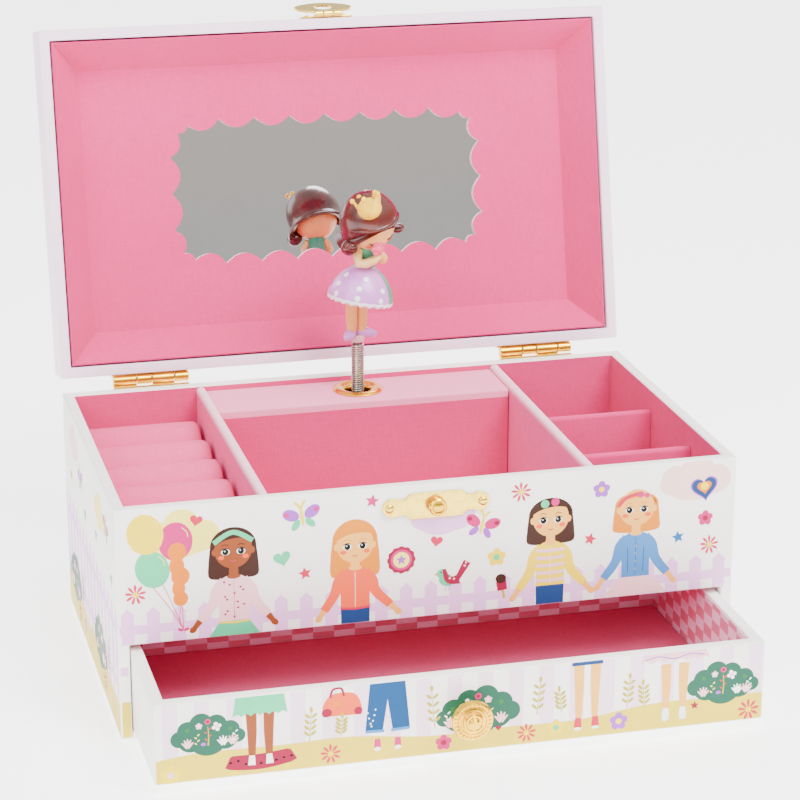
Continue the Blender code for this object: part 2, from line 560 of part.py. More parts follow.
# ---------------------------------------------------------------- catch on the case's front
def build_catch():
    plate_y = HALF_D + 0.15             # the plate's back, measured towards the front
    half_w, lobe_h, waist_h, mid_w, mid_h = 16.4, 2.9, 2.2, 8.6, 4.0
    lobe = [(half_w - lobe_h + lobe_h * math.sin(a), lobe_h * math.cos(a))
            for a in (math.pi * k / 8 for k in range(9))]
    shoulder = [(mid_w + 0.2, waist_h + 0.9), (mid_w + 1.4, waist_h + 0.3), (mid_w + 3.0, waist_h + 0.5)]
    right = [(mid_w - 1.0, mid_h), (mid_w, mid_h - 0.6), *shoulder, *lobe,
             *[(x, -z) for x, z in reversed(shoulder)], (mid_w, -mid_h + 0.6), (mid_w - 1.0, -mid_h)]
    outline = right + [(-x, -z) for x, z in right]
    nail_x = 14.3
    holes = [circle(0.85, 10, nail_x), circle(0.85, 10, -nail_x), circle(1.35, 14)]
    plate = plate_mesh(outline, plate_y, plate_y + CATCH_T, "Y", (CATCH_X, 0, CATCH_Z), holes)
    add("catch_plate", plate, "pale_brass", smooth=True)
    front = plate_y + CATCH_T
    knob = [(0.0, HALF_D + 0.15), (1.1, HALF_D + 0.15), (1.1, front + 0.2), (1.7, front + 0.2),
            (1.5, front + 1.2), (KNOB_R, front + 1.4), (KNOB_R, front + 2.3), (1.9, front + 3.0),
            (0.0, front + 3.1)]
    add("catch_knob", turned_mesh(knob, 24, "Y", (CATCH_X, 0, CATCH_Z)), "brass", smooth=True)
    for side, name in ((-1, "catch_nail_left"), (1, "catch_nail_right")):
        nail = [(0.0, HALF_D + 0.15), (0.55, HALF_D + 0.15), (0.55, front + 0.15), (1.35, front + 0.15),
                (1.0, front + 0.6), (0.0, front + 0.8)]
        add(name, turned_mesh(nail, 14, "Y", (CATCH_X + side * nail_x, 0, CATCH_Z)), "brass", smooth=True)


def build_hasp(hinge_line):
    pin_y = -HALF_D - HASP_PIN_OUT
    at = (CATCH_X, pin_y, HASP_PIN_Z)
    barrel_r, bore_r = 1.1, 0.45
    # base: a plate on the lid's front face with two knuckles and the pin between them
    base = add("hasp_base", box_mesh((CATCH_X - 8.4, CATCH_X + 8.4), (-HALF_D - 0.85, -HALF_D - 0.15),
                                     (HASP_PIN_Z + 1.5, HASP_PIN_Z + 8.0)), "pale_brass", hinge_line)
    knuckles = [helper(round_mesh(barrel_r, low, high, 14, "X", at), hinge_line)
                for low, high in ((-4.5, -1.8), (1.8, 4.5))]
    pin = helper(round_mesh(0.35, -4.4, 4.4, 10, "X", at), hinge_line)
    webs = [helper(box_mesh((CATCH_X + low, CATCH_X + high), (pin_y, -HALF_D - 0.2),
                            (HASP_PIN_Z + 0.2, HASP_PIN_Z + 1.9)), hinge_line)
            for low, high in ((-4.5, -1.8), (1.8, 4.5))]
    combine(base, webs + knuckles + [pin])
    # flap: an oval plate with a slot that drops over the knob
    swing = pivot("hasp_pivot", at, -HASP_OPEN, hinge_line)
    swing["at"] = at
    half_w, half_h, middle = 9.6, 6.6, 8.4
    outline = []
    for k in range(32):
        a = math.tau * k / 32
        u = half_w * math.copysign(abs(math.cos(a)) ** 1.25, math.cos(a))
        outline.append((u, -middle + half_h * math.sin(a)))
    round_the_slot = [math.tau * k / 16 for k in range(16)]
    slot = [(3.0 * math.cos(a), -HASP_REACH + 3.15 * math.sin(a)) for a in round_the_slot]
    flap_mesh = plate_mesh(outline, 0.0 - 0.35, 0.35, "Y", at, [slot])
    flap = add("hasp_flap", flap_mesh, "pale_brass", swing)
    tube = helper(round_mesh(barrel_r, -1.5, 1.5, 14, "X", at), swing)
    neck = helper(box_mesh((CATCH_X - 1.5, CATCH_X + 1.5), (pin_y - 0.35, pin_y + 0.35),
                           (HASP_PIN_Z - 2.6, HASP_PIN_Z)), swing)
    bore = helper(round_mesh(bore_r, -3, 3, 12, "X", at), swing)
    combine(flap, [neck, tube])
    combine(flap, [bore], "DIFFERENCE")


# ---------------------------------------------------------------- dancer
def build_dancer():
    at = (COLLAR_X, COLLAR_Y, 0)
    # spring: close coils, drawn as a ribbed tube; it stands on the spindle's stud
    low, high = PLATFORM_TOP - 1.5, SPRING_TOP
    turns = int((high - low) / (SPRING_WIRE * 1.6))
    pitch = (high - low) / turns
    outside = []
    for i in range(turns):
        z = low + i * pitch
        outside += [(SPRING_R - 0.25, z), (SPRING_R, z + pitch / 2)]
    inner_r = SPRING_R - SPRING_WIRE
    profile = [(inner_r, low), *outside, (SPRING_R - 0.25, high), (inner_r, high)]
    add("dancer_spring", turned_mesh(profile, 12, "Z", at), "steel")

    def ball(centre, radii, cols=14, rows=9):
        bm = bmesh.new()
        matrix = Matrix.Translation(Vector(centre) + Vector(at)) @ Matrix.Diagonal((*radii, 1.0))
        bmesh.ops.create_uvsphere(bm, u_segments=cols, v_segments=rows, radius=1.0, matrix=matrix)
        return bm

    skirt_low, skirt_high = 100.0, 114.5
    skirt = [(0.0, skirt_low + 0.8), (8.6, skirt_low), (10.2, skirt_low + 1.2), (9.9, skirt_low + 4.0),
             (8.2, skirt_low + 8.4), (5.2, skirt_low + 12.0), (3.0, skirt_high), (0.0, skirt_high)]
    dancer = add("dancer", turned_mesh(skirt, 22, "Z", at), "dancer_paint", smooth=True)
    pieces = [
        ball((0, 0, 116.5), (3.2, 2.7, 5.0)),                 # bodice
        ball((0.3, 0.2, 126.6), (9.2, 8.7, 9.3), 20, 12),     # head and hair
        ball((-5.4, -1.5, 120.0), (3.0, 3.0, 2.8)),           # curl of hair
        ball((7.6, 1.0, 123.4), (2.0, 2.2, 1.6)),             # curl of hair
        ball((-3.4, -1.4, 116.4), (1.4, 1.7, 3.4), 10, 7),    # arms
        ball((3.6, -1.4, 116.4), (1.4, 1.7, 3.4), 10, 7),
        ball((1.2, -4.2, 115.8), (4.0, 1.7, 1.7), 10, 7),
        round_mesh(1.85, 89.2, 102.3, 13, "Z", (at[0] - 2.13, at[1] + 0.17, 0)),     # legs
        round_mesh(1.85, 89.2, 102.3, 13, "Z", (at[0] + 2.11, at[1] + 0.12, 0)),
        ball((-2.83, -1.83, 89.47), (2.2, 3.6, 1.8), 12, 8),     # shoes
        ball((3.21, -0.83, 89.43), (3.5, 2.2, 1.8), 12, 8),
        round_mesh(2.4, SPRING_TOP + 0.3, 89.9, 14, "Z", at),  # peg in the spring's end
        round_mesh(1.1, 82.0, 88.3, 12, "Z", at),
    ]
    crown = [(0.0, 134.6), (4.4, 134.6), (5.0, 137.4), (3.4, 136.4), (0.0, 136.6)]
    pieces.append(turned_mesh(crown, 14, "Z", (at[0] + 0.2, at[1] - 0.6, 0)))
    combine(dancer, [helper(m) for m in pieces])


def main():
    clear_scene()
    build_case()
    build_compartments()
    build_housing()
    build_movement()
    build_drawer()
    hinge_line = build_lid()
    build_hinges(hinge_line)
    build_catch()
    build_hasp(hinge_line)
    build_dancer()


main()
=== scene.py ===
"""Looks of the ballerina jewellery box: paper, linings, prints, gilt fittings and the dancer.

Lengths in this file are millimetres in the frame of the box, and piece() turns them into
metres. What belongs to the lid is drawn with the lid shut and then turned open.
"""
import json
import math

import bmesh
import bpy
from mathutils import Matrix, Vector, noise


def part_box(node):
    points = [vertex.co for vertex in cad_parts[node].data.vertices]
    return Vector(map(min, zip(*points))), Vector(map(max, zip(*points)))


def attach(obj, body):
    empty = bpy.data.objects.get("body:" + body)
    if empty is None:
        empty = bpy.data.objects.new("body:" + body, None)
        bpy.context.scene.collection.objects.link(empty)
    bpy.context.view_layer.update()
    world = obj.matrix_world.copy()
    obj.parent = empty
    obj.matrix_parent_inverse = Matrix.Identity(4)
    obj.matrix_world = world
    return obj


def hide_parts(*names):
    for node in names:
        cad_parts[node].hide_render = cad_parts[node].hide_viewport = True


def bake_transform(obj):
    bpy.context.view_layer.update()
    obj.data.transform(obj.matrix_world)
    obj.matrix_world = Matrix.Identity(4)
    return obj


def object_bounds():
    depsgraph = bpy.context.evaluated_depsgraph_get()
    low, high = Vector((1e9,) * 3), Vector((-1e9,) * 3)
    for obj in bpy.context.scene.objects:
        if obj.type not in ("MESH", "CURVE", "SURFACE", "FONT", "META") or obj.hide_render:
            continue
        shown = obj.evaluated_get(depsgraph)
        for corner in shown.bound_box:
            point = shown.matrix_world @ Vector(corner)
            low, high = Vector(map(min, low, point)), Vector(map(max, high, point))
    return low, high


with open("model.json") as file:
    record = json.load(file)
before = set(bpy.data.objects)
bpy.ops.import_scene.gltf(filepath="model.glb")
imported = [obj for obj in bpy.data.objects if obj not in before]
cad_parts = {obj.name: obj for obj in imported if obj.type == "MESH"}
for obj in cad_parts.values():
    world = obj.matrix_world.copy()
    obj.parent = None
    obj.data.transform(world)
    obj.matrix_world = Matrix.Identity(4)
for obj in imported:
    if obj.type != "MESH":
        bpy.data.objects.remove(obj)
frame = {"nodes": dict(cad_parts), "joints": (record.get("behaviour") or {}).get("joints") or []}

MM = 0.001
FRAME_BOX = [[float(c) for c in corner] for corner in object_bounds()]


# ---------------------------------------------------------------- places from the frame
def node_box(name):
    low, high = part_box(name)
    return Vector(low) / MM, Vector(high) / MM


def joint_point(name):
    joint = next(j for j in frame["joints"] if j["name"] == name)
    return Vector(joint["pos_m"]) / MM


LID_PIN = joint_point("lid_hinge")
LID_ANGLE = math.radians(102.5)
LID_OPEN = Matrix.Translation(LID_PIN) @ Matrix.Rotation(-LID_ANGLE, 4, "X") @ Matrix.Translation(-LID_PIN)
HASP_PIN = LID_OPEN.inverted() @ joint_point("hasp_hinge")
HASP_BACK = math.radians(165)
HASP_OPEN = (LID_OPEN @ Matrix.Translation(HASP_PIN) @ Matrix.Rotation(-HASP_BACK, 4, "X")
             @ Matrix.Translation(-HASP_PIN))


def lid_box(name):
    """A lid node's box with the lid shut."""
    back = LID_OPEN.inverted()
    points = [back @ (v.co / MM) for v in frame["nodes"][name].data.vertices]
    return (Vector([min(p[i] for p in points) for i in range(3)]),
            Vector([max(p[i] for p in points) for i in range(3)]))


LEFT, RIGHT = node_box("side_panel_left"), node_box("side_panel_right")
CASE_LOW, CASE_HIGH = LEFT[0], RIGHT[1]
BOARD = LEFT[1].x - LEFT[0].x
OPENING_TOP = node_box("front_panel")[0].z
FLOOR_Z = node_box("mid_shelf")[1].z
AXIS = joint_point("dancer_spin")


# ---------------------------------------------------------------- meshes
def spread(bm, matrix):
    bmesh.ops.transform(bm, matrix=matrix, verts=bm.verts)
    return bm


def boxed(low, high, bevel=0.0, segments=2):
    """A box with all its edges rounded."""
    low, high = Vector(low), Vector(high)
    bm = bmesh.new()
    bmesh.ops.create_cube(bm, size=1.0)
    spread(bm, Matrix.Translation((low + high) / 2) @ Matrix.Diagonal((*(high - low), 1.0)))
    if bevel:
        bmesh.ops.bevel(bm, geom=list(bm.edges), offset=bevel, segments=segments, profile=0.5,
                        affect="EDGES", material=-1)
    return bm


def turned(profile, steps=48, axis="Z", at=(0, 0, 0)):
    """Spin (radius, height) points about an axis. The height runs towards the front for Y."""
    bm = bmesh.new()
    points = [bm.verts.new((r, 0, h)) for r, h in profile]
    links = list(zip(points, points[1:]))
    if profile[0][0] > 0 or profile[-1][0] > 0:
        links.append((points[-1], points[0]))
    edges = [bm.edges.new(link) for link in links]
    bmesh.ops.spin(bm, geom=points + edges, cent=(0, 0, 0), axis=(0, 0, 1), angle=math.tau,
                   steps=steps, use_merge=True)
    bmesh.ops.remove_doubles(bm, verts=bm.verts, dist=1e-4)
    turn = {"Z": Matrix.Identity(4), "X": Matrix.Rotation(math.pi / 2, 4, "Y"),
            "Y": Matrix.Rotation(math.pi / 2, 4, "X")}[axis]
    return spread(bm, Matrix.Translation(at) @ turn)


def ball(centre, radii, cols=32, rows=20, turn=None):
    bm = bmesh.new()
    bmesh.ops.create_uvsphere(bm, u_segments=cols, v_segments=rows, radius=1.0)
    spread(bm, Matrix.Diagonal((*radii, 1.0)))
    if turn:
        spread(bm, turn)
    return spread(bm, Matrix.Translation(centre))


def extruded(outline, low, high, place=None, holes=(), bevel=0.0):
    """A flat outline with holes, given a thickness along its third axis."""
    bm = bmesh.new()
    loops = []
    for loop in (outline, *holes):
        points = [bm.verts.new((u, v, low)) for u, v in loop]
        loops += [bm.edges.new((points[i - 1], points[i])) for i in range(len(points))]
    bmesh.ops.triangle_fill(bm, use_beauty=True, use_dissolve=False, edges=loops)
    grown = bmesh.ops.extrude_face_region(bm, geom=list(bm.faces), use_keep_orig=True)
    lifted = [g for g in grown["geom"] if isinstance(g, bmesh.types.BMVert)]
    bmesh.ops.translate(bm, verts=lifted, vec=(0, 0, high - low))
    bmesh.ops.recalc_face_normals(bm, faces=bm.faces)
    if bevel:
        rim = [e for e in bm.edges if len(e.link_faces) == 2 and e.calc_face_angle() > 1.0
               and all(abs(v.co.z - high) < 1e-4 for v in e.verts)]
        bmesh.ops.bevel(bm, geom=rim, offset=bevel, segments=3, profile=0.5, affect="EDGES", material=-1)
    if place:
        spread(bm, place)
    return bm


def tube_along(points, radii, sides=10):
    """A round tube through points, with its own radius at each and closed ends."""
    bm = bmesh.new()
    rings = []
    for i, point in enumerate(points):
        ahead = Vector(points[min(i + 1, len(points) - 1)]) - Vector(points[max(i - 1, 0)])
        turn = ahead.to_track_quat("Z", "Y").to_matrix().to_4x4()
        ring = []
        for k in range(sides):
            a = math.tau * k / sides
            local = Vector((math.cos(a), math.sin(a), 0)) * radii[i]
            ring.append(bm.verts.new(Vector(point) + turn @ local))
        rings.append([bm.edges.new((ring[k - 1], ring[k])) for k in range(sides)])
    for a, b in zip(rings, rings[1:]):
        bmesh.ops.bridge_loops(bm, edges=a + b)
    bmesh.ops.holes_fill(bm, edges=bm.edges, sides=sides)
    return bm


def join(*parts):
    """One bmesh of several."""
    whole = bmesh.new()
    for part in parts:
        mesh = bpy.data.meshes.new("part")
        part.to_mesh(mesh)
        part.free()
        whole.from_mesh(mesh)
        bpy.data.meshes.remove(mesh)
    return whole


def piece(name, bm, material, body, smooth=True, replaces=(), extra=()):
    """Make one object of a bmesh in millimetres, riding on a body."""
    bmesh.ops.recalc_face_normals(bm, faces=bm.faces)
    spread(bm, Matrix.Diagonal((MM, MM, MM, 1.0)))
    mesh = bpy.data.meshes.new(name)
    bm.to_mesh(mesh)
    bm.free()
    if smooth:
        mesh.shade_smooth()
        mesh.set_sharp_from_angle(angle=math.radians(32))
    for mat in (material, *extra):
        mesh.materials.append(mat)
    obj = bpy.data.objects.new(name, mesh)
    bpy.context.scene.collection.objects.link(obj)
    if body:
        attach(obj, body)
    if replaces:
        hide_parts(*replaces)
    return obj


def cut(obj, cutter_bm):
    """Cut a finished piece with a shape, and drop the cutter."""
    spread(cutter_bm, Matrix.Diagonal((MM, MM, MM, 1.0)))
    bmesh.ops.recalc_face_normals(cutter_bm, faces=cutter_bm.faces)
    mesh = bpy.data.meshes.new("cutter")
    cutter_bm.to_mesh(mesh)
    cutter_bm.free()
    cutter = bpy.data.objects.new("cutter", mesh)
    bpy.context.scene.collection.objects.link(cutter)
    step = obj.modifiers.new("cut", "BOOLEAN")
    step.operation = "DIFFERENCE"
    step.object = cutter
    done = bpy.data.meshes.new_from_object(obj.evaluated_get(bpy.context.evaluated_depsgraph_get()))
    obj.modifiers.clear()
    bpy.data.objects.remove(cutter, do_unlink=True)
    done.name = obj.name
    obj.data = done
    done.shade_smooth()
    done.set_sharp_from_angle(angle=math.radians(32))


# ---------------------------------------------------------------- material helpers
def tone(r, g, b):
    """A screen colour, 0 to 255, as linear light."""
    return tuple((c / 255 / 12.92) if c <= 10 else ((c / 255 + 0.055) / 1.055) ** 2.4
                 for c in (r, g, b)) + (1.0,)


def shade(colour, share):
    return tuple(min(1.0, c * share) for c in colour[:3]) + (1.0,)


def blank(name, rough, metal=0.0, **sockets):
    mat = bpy.data.materials.new(name)
    mat.use_nodes = True
    shader = mat.node_tree.nodes["Principled BSDF"]
    shader.inputs["Roughness"].default_value = rough
    shader.inputs["Metallic"].default_value = metal
    for socket, value in sockets.items():
        shader.inputs[socket.replace("_", " ")].default_value = value
    return mat


def node(mat, kind, inputs, **settings):
    """Add a node. An input is given a value, or another node's output."""
    made = mat.node_tree.nodes.new("ShaderNode" + kind)
    for key, value in settings.items():
        setattr(made, key, value)
    for key, value in inputs.items():
        if isinstance(value, bpy.types.NodeSocket):
            mat.node_tree.links.new(value, made.inputs[key])
        else:
            made.inputs[key].default_value = value
    return made


def coordinates(mat, stretch=(1, 1, 1), turn=(0, 0, 0)):
    source = node(mat, "TexCoord", {})
    return node(mat, "Mapping", {"Vector": source.outputs["Object"], "Scale": stretch,
                                 "Rotation": turn}).outputs["Vector"]


def cloudy(mat, vector, scale, detail=3.0, low=0.35, high=0.65):
    """Noise, spread to run from 0 to 1."""
    raw = node(mat, "TexNoise", {"Vector": vector, "Scale": scale, "Detail": detail}).outputs["Fac"]
    return node(mat, "MapRange", {"Value": raw, "From Min": low, "From Max": high}).outputs["Result"]


def blended(mat, share, a, b, mode="MIX"):
    made = node(mat, "Mix", {0: share, 6: a, 7: b}, data_type="RGBA", blend_type=mode)
    return made.outputs[2]


def maths(mat, operation, a, b=0.0):
    return node(mat, "Math", {0: a, 1: b}, operation=operation).outputs[0]


def wire(mat, socket, output):
    mat.node_tree.links.new(output, mat.node_tree.nodes["Principled BSDF"].inputs[socket])


def relief(mat, height, strength, distance=0.0001):
    made = node(mat, "Bump", {"Height": height, "Strength": strength, "Distance": distance})
    wire(mat, "Normal", made.outputs["Normal"])


def rough_range(mat, share, low, high):
    wire(mat, "Roughness",
         node(mat, "MapRange", {"Value": share, "To Min": low, "To Max": high}).outputs["Result"])


# ---------------------------------------------------------------- finishes
def paper(name, colour, rough=0.42, mottle=0.97):
    """Satin printed paper: nearly even, with a faint fibre and a slightly uneven gloss."""
    mat = blank(name, rough, Specular_IOR_Level=0.2)
    here = coordinates(mat)
    wide = cloudy(mat, here, 60)
    fine = cloudy(mat, coordinates(mat, (1, 1, 0.35)), 2600, 2.0)
    base = blended(mat, wide, colour, shade(colour, mottle))
    wire(mat, "Base Color",
         blended(mat, maths(mat, "MULTIPLY", fine, 0.35), base, shade(colour, mottle * 0.98)))
    rough_range(mat, wide, rough - 0.05, rough + 0.08)
    relief(mat, fine, 0.06)
    return mat


def lining(name, colour, deep, grain=1.0):
    """Pink velour paper: crossed fine threads, soft pile and wide uneven tone."""
    mat = blank(name, 0.85, Sheen_Weight=0.05, Sheen_Roughness=0.5, Specular_IOR_Level=0.12)
    along = cloudy(mat, coordinates(mat, (0.18, 1, 1)), 2100, 2.0, 0.3, 0.7)
    across = cloudy(mat, coordinates(mat, (1, 0.2, 0.2)), 1700, 2.0, 0.3, 0.7)
    threads = maths(mat, "MULTIPLY", maths(mat, "ADD", along, across), 0.5)
    wide = cloudy(mat, coordinates(mat), 22, 4.0)
    base = blended(mat, maths(mat, "MULTIPLY", wide, 0.55), colour, deep)
    wire(mat, "Base Color",
         blended(mat, maths(mat, "MULTIPLY", threads, 0.42 * grain), base, shade(deep, 0.86)))
    relief(mat, threads, 0.35 * grain, 0.00012)
    return mat


def checked(name, light, dark):
    """Paper printed with a check of flat bricks, 6.8 by 3.6 mm, on walls along X or along Y."""
    mat = blank(name, 0.5, Specular_IOR_Level=0.2)
    split = node(mat, "SeparateXYZ", {0: coordinates(mat)})
    along = maths(mat, "ADD", split.outputs["X"], split.outputs["Y"])
    column = maths(mat, "FLOOR", maths(mat, "DIVIDE", along, 0.0068))
    row = maths(mat, "FLOOR", maths(mat, "DIVIDE", split.outputs["Z"], 0.0036))
    odd = maths(mat, "PINGPONG", maths(mat, "ADD", column, row), 1.0)
    uneven = cloudy(mat, coordinates(mat), 240)
    tint = blended(mat, maths(mat, "MULTIPLY", uneven, 0.4), dark, shade(dark, 0.86))
    wire(mat, "Base Color", blended(mat, odd, tint, light))
    relief(mat, cloudy(mat, coordinates(mat), 2500, 2.0), 0.06)
    return mat


def metal(name, colour, rough, stretch=(0.1, 1, 1)):
    """Plated metal: fine polishing lines and a slightly cloudy lacquer."""
    mat = blank(name, rough, 1.0, Coat_Weight=0.3, Coat_Roughness=0.12)
    lines = cloudy(mat, coordinates(mat, stretch), 4200, 2.0)
    wide = cloudy(mat, coordinates(mat), 260)
    wire(mat, "Base Color", blended(mat, wide, colour, shade(colour, 0.82)))
    rough_range(mat, lines, rough * 0.8, rough * 1.35)
    relief(mat, lines, 0.08, 0.00005)
    return mat


def gloss_paint(name, colour, deep=None, rough=0.2, coat=0.6, scale=260):
    """Hand-painted resin: brushed tone, an even gloss coat."""
    mat = blank(name, rough, Coat_Weight=coat, Coat_Roughness=0.08, Subsurface_Weight=0.0)
    streaks = cloudy(mat, coordinates(mat, (1, 1, 0.4)), scale, 3.0)
    wire(mat, "Base Color", blended(mat, streaks, colour, deep or shade(colour, 0.9)))
    rough_range(mat, streaks, rough * 0.85, rough * 1.25)
    relief(mat, cloudy(mat, coordinates(mat), 900, 2.0), 0.05)
    return mat


def silvered(name):
    """Mirror glass, with a breath of dust."""
    mat = blank(name, 0.02, 1.0)
    dust = cloudy(mat, coordinates(mat), 90, 5.0, 0.45, 0.8)
    wire(mat, "Base Color", blended(mat, dust, (0.86, 0.87, 0.88, 1), (0.82, 0.83, 0.84, 1)))
    rough_range(mat, dust, 0.012, 0.035)
    return mat


WHITE_PAPER = paper("white_paper", tone(254, 251, 247))
LILAC_PAPER = paper("lilac_paper", tone(252, 224, 243))
PINK = lining("pink_velour", tone(224, 62, 128), tone(214, 48, 112))
# a paler copy of the pink velour for the platform's top: painted light, as if the top were lit from above
PINK_PAINTED_LIT = lining("pink_velour_painted_lit", tone(248, 152, 188), tone(244, 138, 176), 0.6)
ROLL_PINK = lining("roll_velour", tone(236, 96, 146), tone(226, 76, 128))
FLOOR_PINK = lining("drawer_velour", tone(234, 104, 148), tone(222, 84, 130))
CHECK = checked("check_paper", tone(250, 206, 232), tone(228, 128, 158))
CORE = paper("cut_board_edge", tone(252, 236, 240), 0.7, 0.9)
GILT = metal("gilt_brass", tone(246, 196, 30), 0.2)
PALE_GILT = metal("pale_gilt_brass", tone(255, 220, 84), 0.24)
STEEL = metal("bright_steel", tone(186, 176, 166), 0.3)
MOVEMENT_STEEL = metal("movement_steel", tone(165, 165, 168), 0.35, (1, 1, 0.1))
MOVEMENT_BRASS = metal("movement_brass", tone(205, 165, 85), 0.3, (1, 0.1, 1))
MIRROR = silvered("mirror_silver")


# ---------------------------------------------------------------- case, drawer and lid shells
def ring_shell(low, high, wall, bevel, front_gap_top=None):
    """Four walls of one thickness. With a gap, the front wall starts at that height."""
    bm = bmesh.new()
    bmesh.ops.create_grid(bm, x_segments=3, y_segments=3, size=1.0)
    xs = (low.x, low.x + wall, high.x - wall, high.x)
    ys = (low.y, low.y + wall, high.y - wall, high.y)
    for v in bm.verts:
        v.co = (xs[round((v.co.x + 1) * 1.5)], ys[round((v.co.y + 1) * 1.5)], low.z)
    middle = [f for f in bm.faces if low.x + wall < f.calc_center_median().x < high.x - wall]
    core = [f for f in middle if low.y + wall < f.calc_center_median().y < high.y - wall]
    front = [f for f in middle if f.calc_center_median().y < low.y + wall]
    bmesh.ops.delete(bm, geom=core + (front if front_gap_top else []), context="FACES")

    def raise_to(faces, height, keep):
        grown = bmesh.ops.extrude_face_region(bm, geom=faces, use_keep_orig=keep)
        moved = [g for g in grown["geom"] if isinstance(g, bmesh.types.BMVert)]
        for v in moved:
            v.co.z = height
        if not keep:
            bmesh.ops.delete(bm, geom=faces, context="FACES_ONLY")
        return [g for g in grown["geom"] if isinstance(g, bmesh.types.BMFace)]

    top = raise_to(list(bm.faces), front_gap_top or high.z, True)
    if front_gap_top:
        corners = [v for v in bm.verts if abs(v.co.z - front_gap_top) < 1e-6
                   and v.co.y < low.y + wall + 1e-6 and abs(v.co.x) < high.x - wall + 1e-6]
        corners.sort(key=lambda v: math.atan2(v.co.y - low.y - wall / 2, v.co.x))
        lintel = bm.faces.new(corners)
        raise_to(top + [lintel], high.z, False)
        bm.faces.new(corners)
    bmesh.ops.remove_doubles(bm, verts=bm.verts, dist=1e-4)
    bmesh.ops.recalc_face_normals(bm, faces=bm.faces)
    bmesh.ops.dissolve_limit(bm, angle_limit=0.01, verts=bm.verts, edges=bm.edges)
    sharp = [e for e in bm.edges if len(e.link_faces) == 2 and e.calc_face_angle() > 0.5]
    bmesh.ops.bevel(bm, geom=sharp, offset=bevel, segments=3, profile=0.5, affect="EDGES", material=-1)
    return bm


def build_case_shell():
    shell = ring_shell(CASE_LOW, CASE_HIGH, BOARD, 0.45, OPENING_TOP)
    case = piece("case_walls", shell, WHITE_PAPER, "case",
                 replaces=("side_panel_left", "side_panel_right", "front_panel", "back_panel"))
    arbor = node_box("winding_key")
    hole_at = ((arbor[0].x + arbor[1].x) / 2, CASE_HIGH.y, (arbor[0].z + arbor[1].z) / 2)
    cut(case, turned([(0, -8), (2.6, -8), (2.6, 8), (0, 8)], 32, "Y", hole_at))
    eyelet = [(2.6, 0.6), (4.0, 0.0), (4.1, -0.35), (3.4, -0.7), (2.4, -0.5), (2.3, 0.4)]
    at = (hole_at[0], CASE_HIGH.y + 0.05, hole_at[2])
    piece("key_eyelet", turned(eyelet, 40, "Y", at), GILT, "case")


def build_linings():
    """Thin covered sheets glued inside the walls; each ends just under the rim."""
    inner_low = CASE_LOW + Vector((BOARD, BOARD, 0))
    inner_high = CASE_HIGH - Vector((BOARD, BOARD, 0))
    bottom, top, thick = FLOOR_Z + 0.05, CASE_HIGH.z - 0.45, 0.2
    x0, x1, y0, y1 = inner_low.x, inner_high.x, inner_low.y, inner_high.y
    sheets = {
        "wall_lining_left": ((x0 + 0.02, y0 + 0.02, bottom), (x0 + thick, y1 - 0.02, top)),
        "wall_lining_right": ((x1 - thick, y0 + 0.02, bottom), (x1 - 0.02, y1 - 0.02, top)),
        "wall_lining_front": ((x0 + 0.25, y0 + 0.02, bottom), (x1 - 0.25, y0 + thick, top)),
        "wall_lining_back": ((x0 + 0.25, y1 - thick, bottom), (x1 - 0.25, y1 - 0.02, top)),
    }
    for name, (low, high) in sheets.items():
        piece(name, boxed(low, high, 0.05, 1), PINK, "case")
    for name in ("base_board", "drawer_stop_board"):
        frame["nodes"][name].data.materials.clear()
        frame["nodes"][name].data.materials.append(WHITE_PAPER)


def covered_board(name, round_along, radius):
    """A board wrapped in velour paper, round along its top."""
    low, high = node_box(name)
    bm = boxed(low, high)
    top = [e for e in bm.edges if all(v.co.z > high.z - 0.01 for v in e.verts)
           and abs((e.verts[0].co - e.verts[1].co).normalized()[round_along]) > 0.9]
    bmesh.ops.bevel(bm, geom=top, offset=radius, segments=6, profile=0.5, affect="EDGES", material=-1)
    return piece(name + "_cover", bm, PINK, "case", replaces=(name,))


def build_compartments():
    for name in ("divider_left", "divider_right"):
        cover = covered_board(name, 1, 1.35)
        cover.data.materials[0] = DIVIDER_WITH_PAINTED_HIGHLIGHT
    for name in ("partition_rear", "partition_front"):
        covered_board(name, 0, 1.2)
    frame["nodes"]["mid_shelf"].data.materials.clear()
    frame["nodes"]["mid_shelf"].data.materials.append(PINK)


def divider_finish_with_painted_highlight():
    """The velour paper of the dividers, with a painted highlight: a paler pink is painted where it turns
    over the top, as if lit from above.
    """
    mat = lining("divider_velour_painted_highlight", tone(240, 104, 164), tone(234, 92, 154))
    shader = mat.node_tree.nodes["Principled BSDF"]
    base = shader.inputs["Base Color"].links[0].from_socket
    height = node(mat, "SeparateXYZ", {0: coordinates(mat)}).outputs["Z"]
    top = CASE_HIGH.z * MM
    # painted highlight: from 2.8 mm under the rim upwards the pink is blended to a paler pink, as if lit
    # from above
    share = node(mat, "MapRange",
                 {"Value": height, "From Min": top - 0.0028, "From Max": top - 0.0012}).outputs[0]
    wire(mat, "Base Color", blended(mat, share, base, tone(251, 200, 216)))
    return mat


DIVIDER_WITH_PAINTED_HIGHLIGHT = divider_finish_with_painted_highlight()


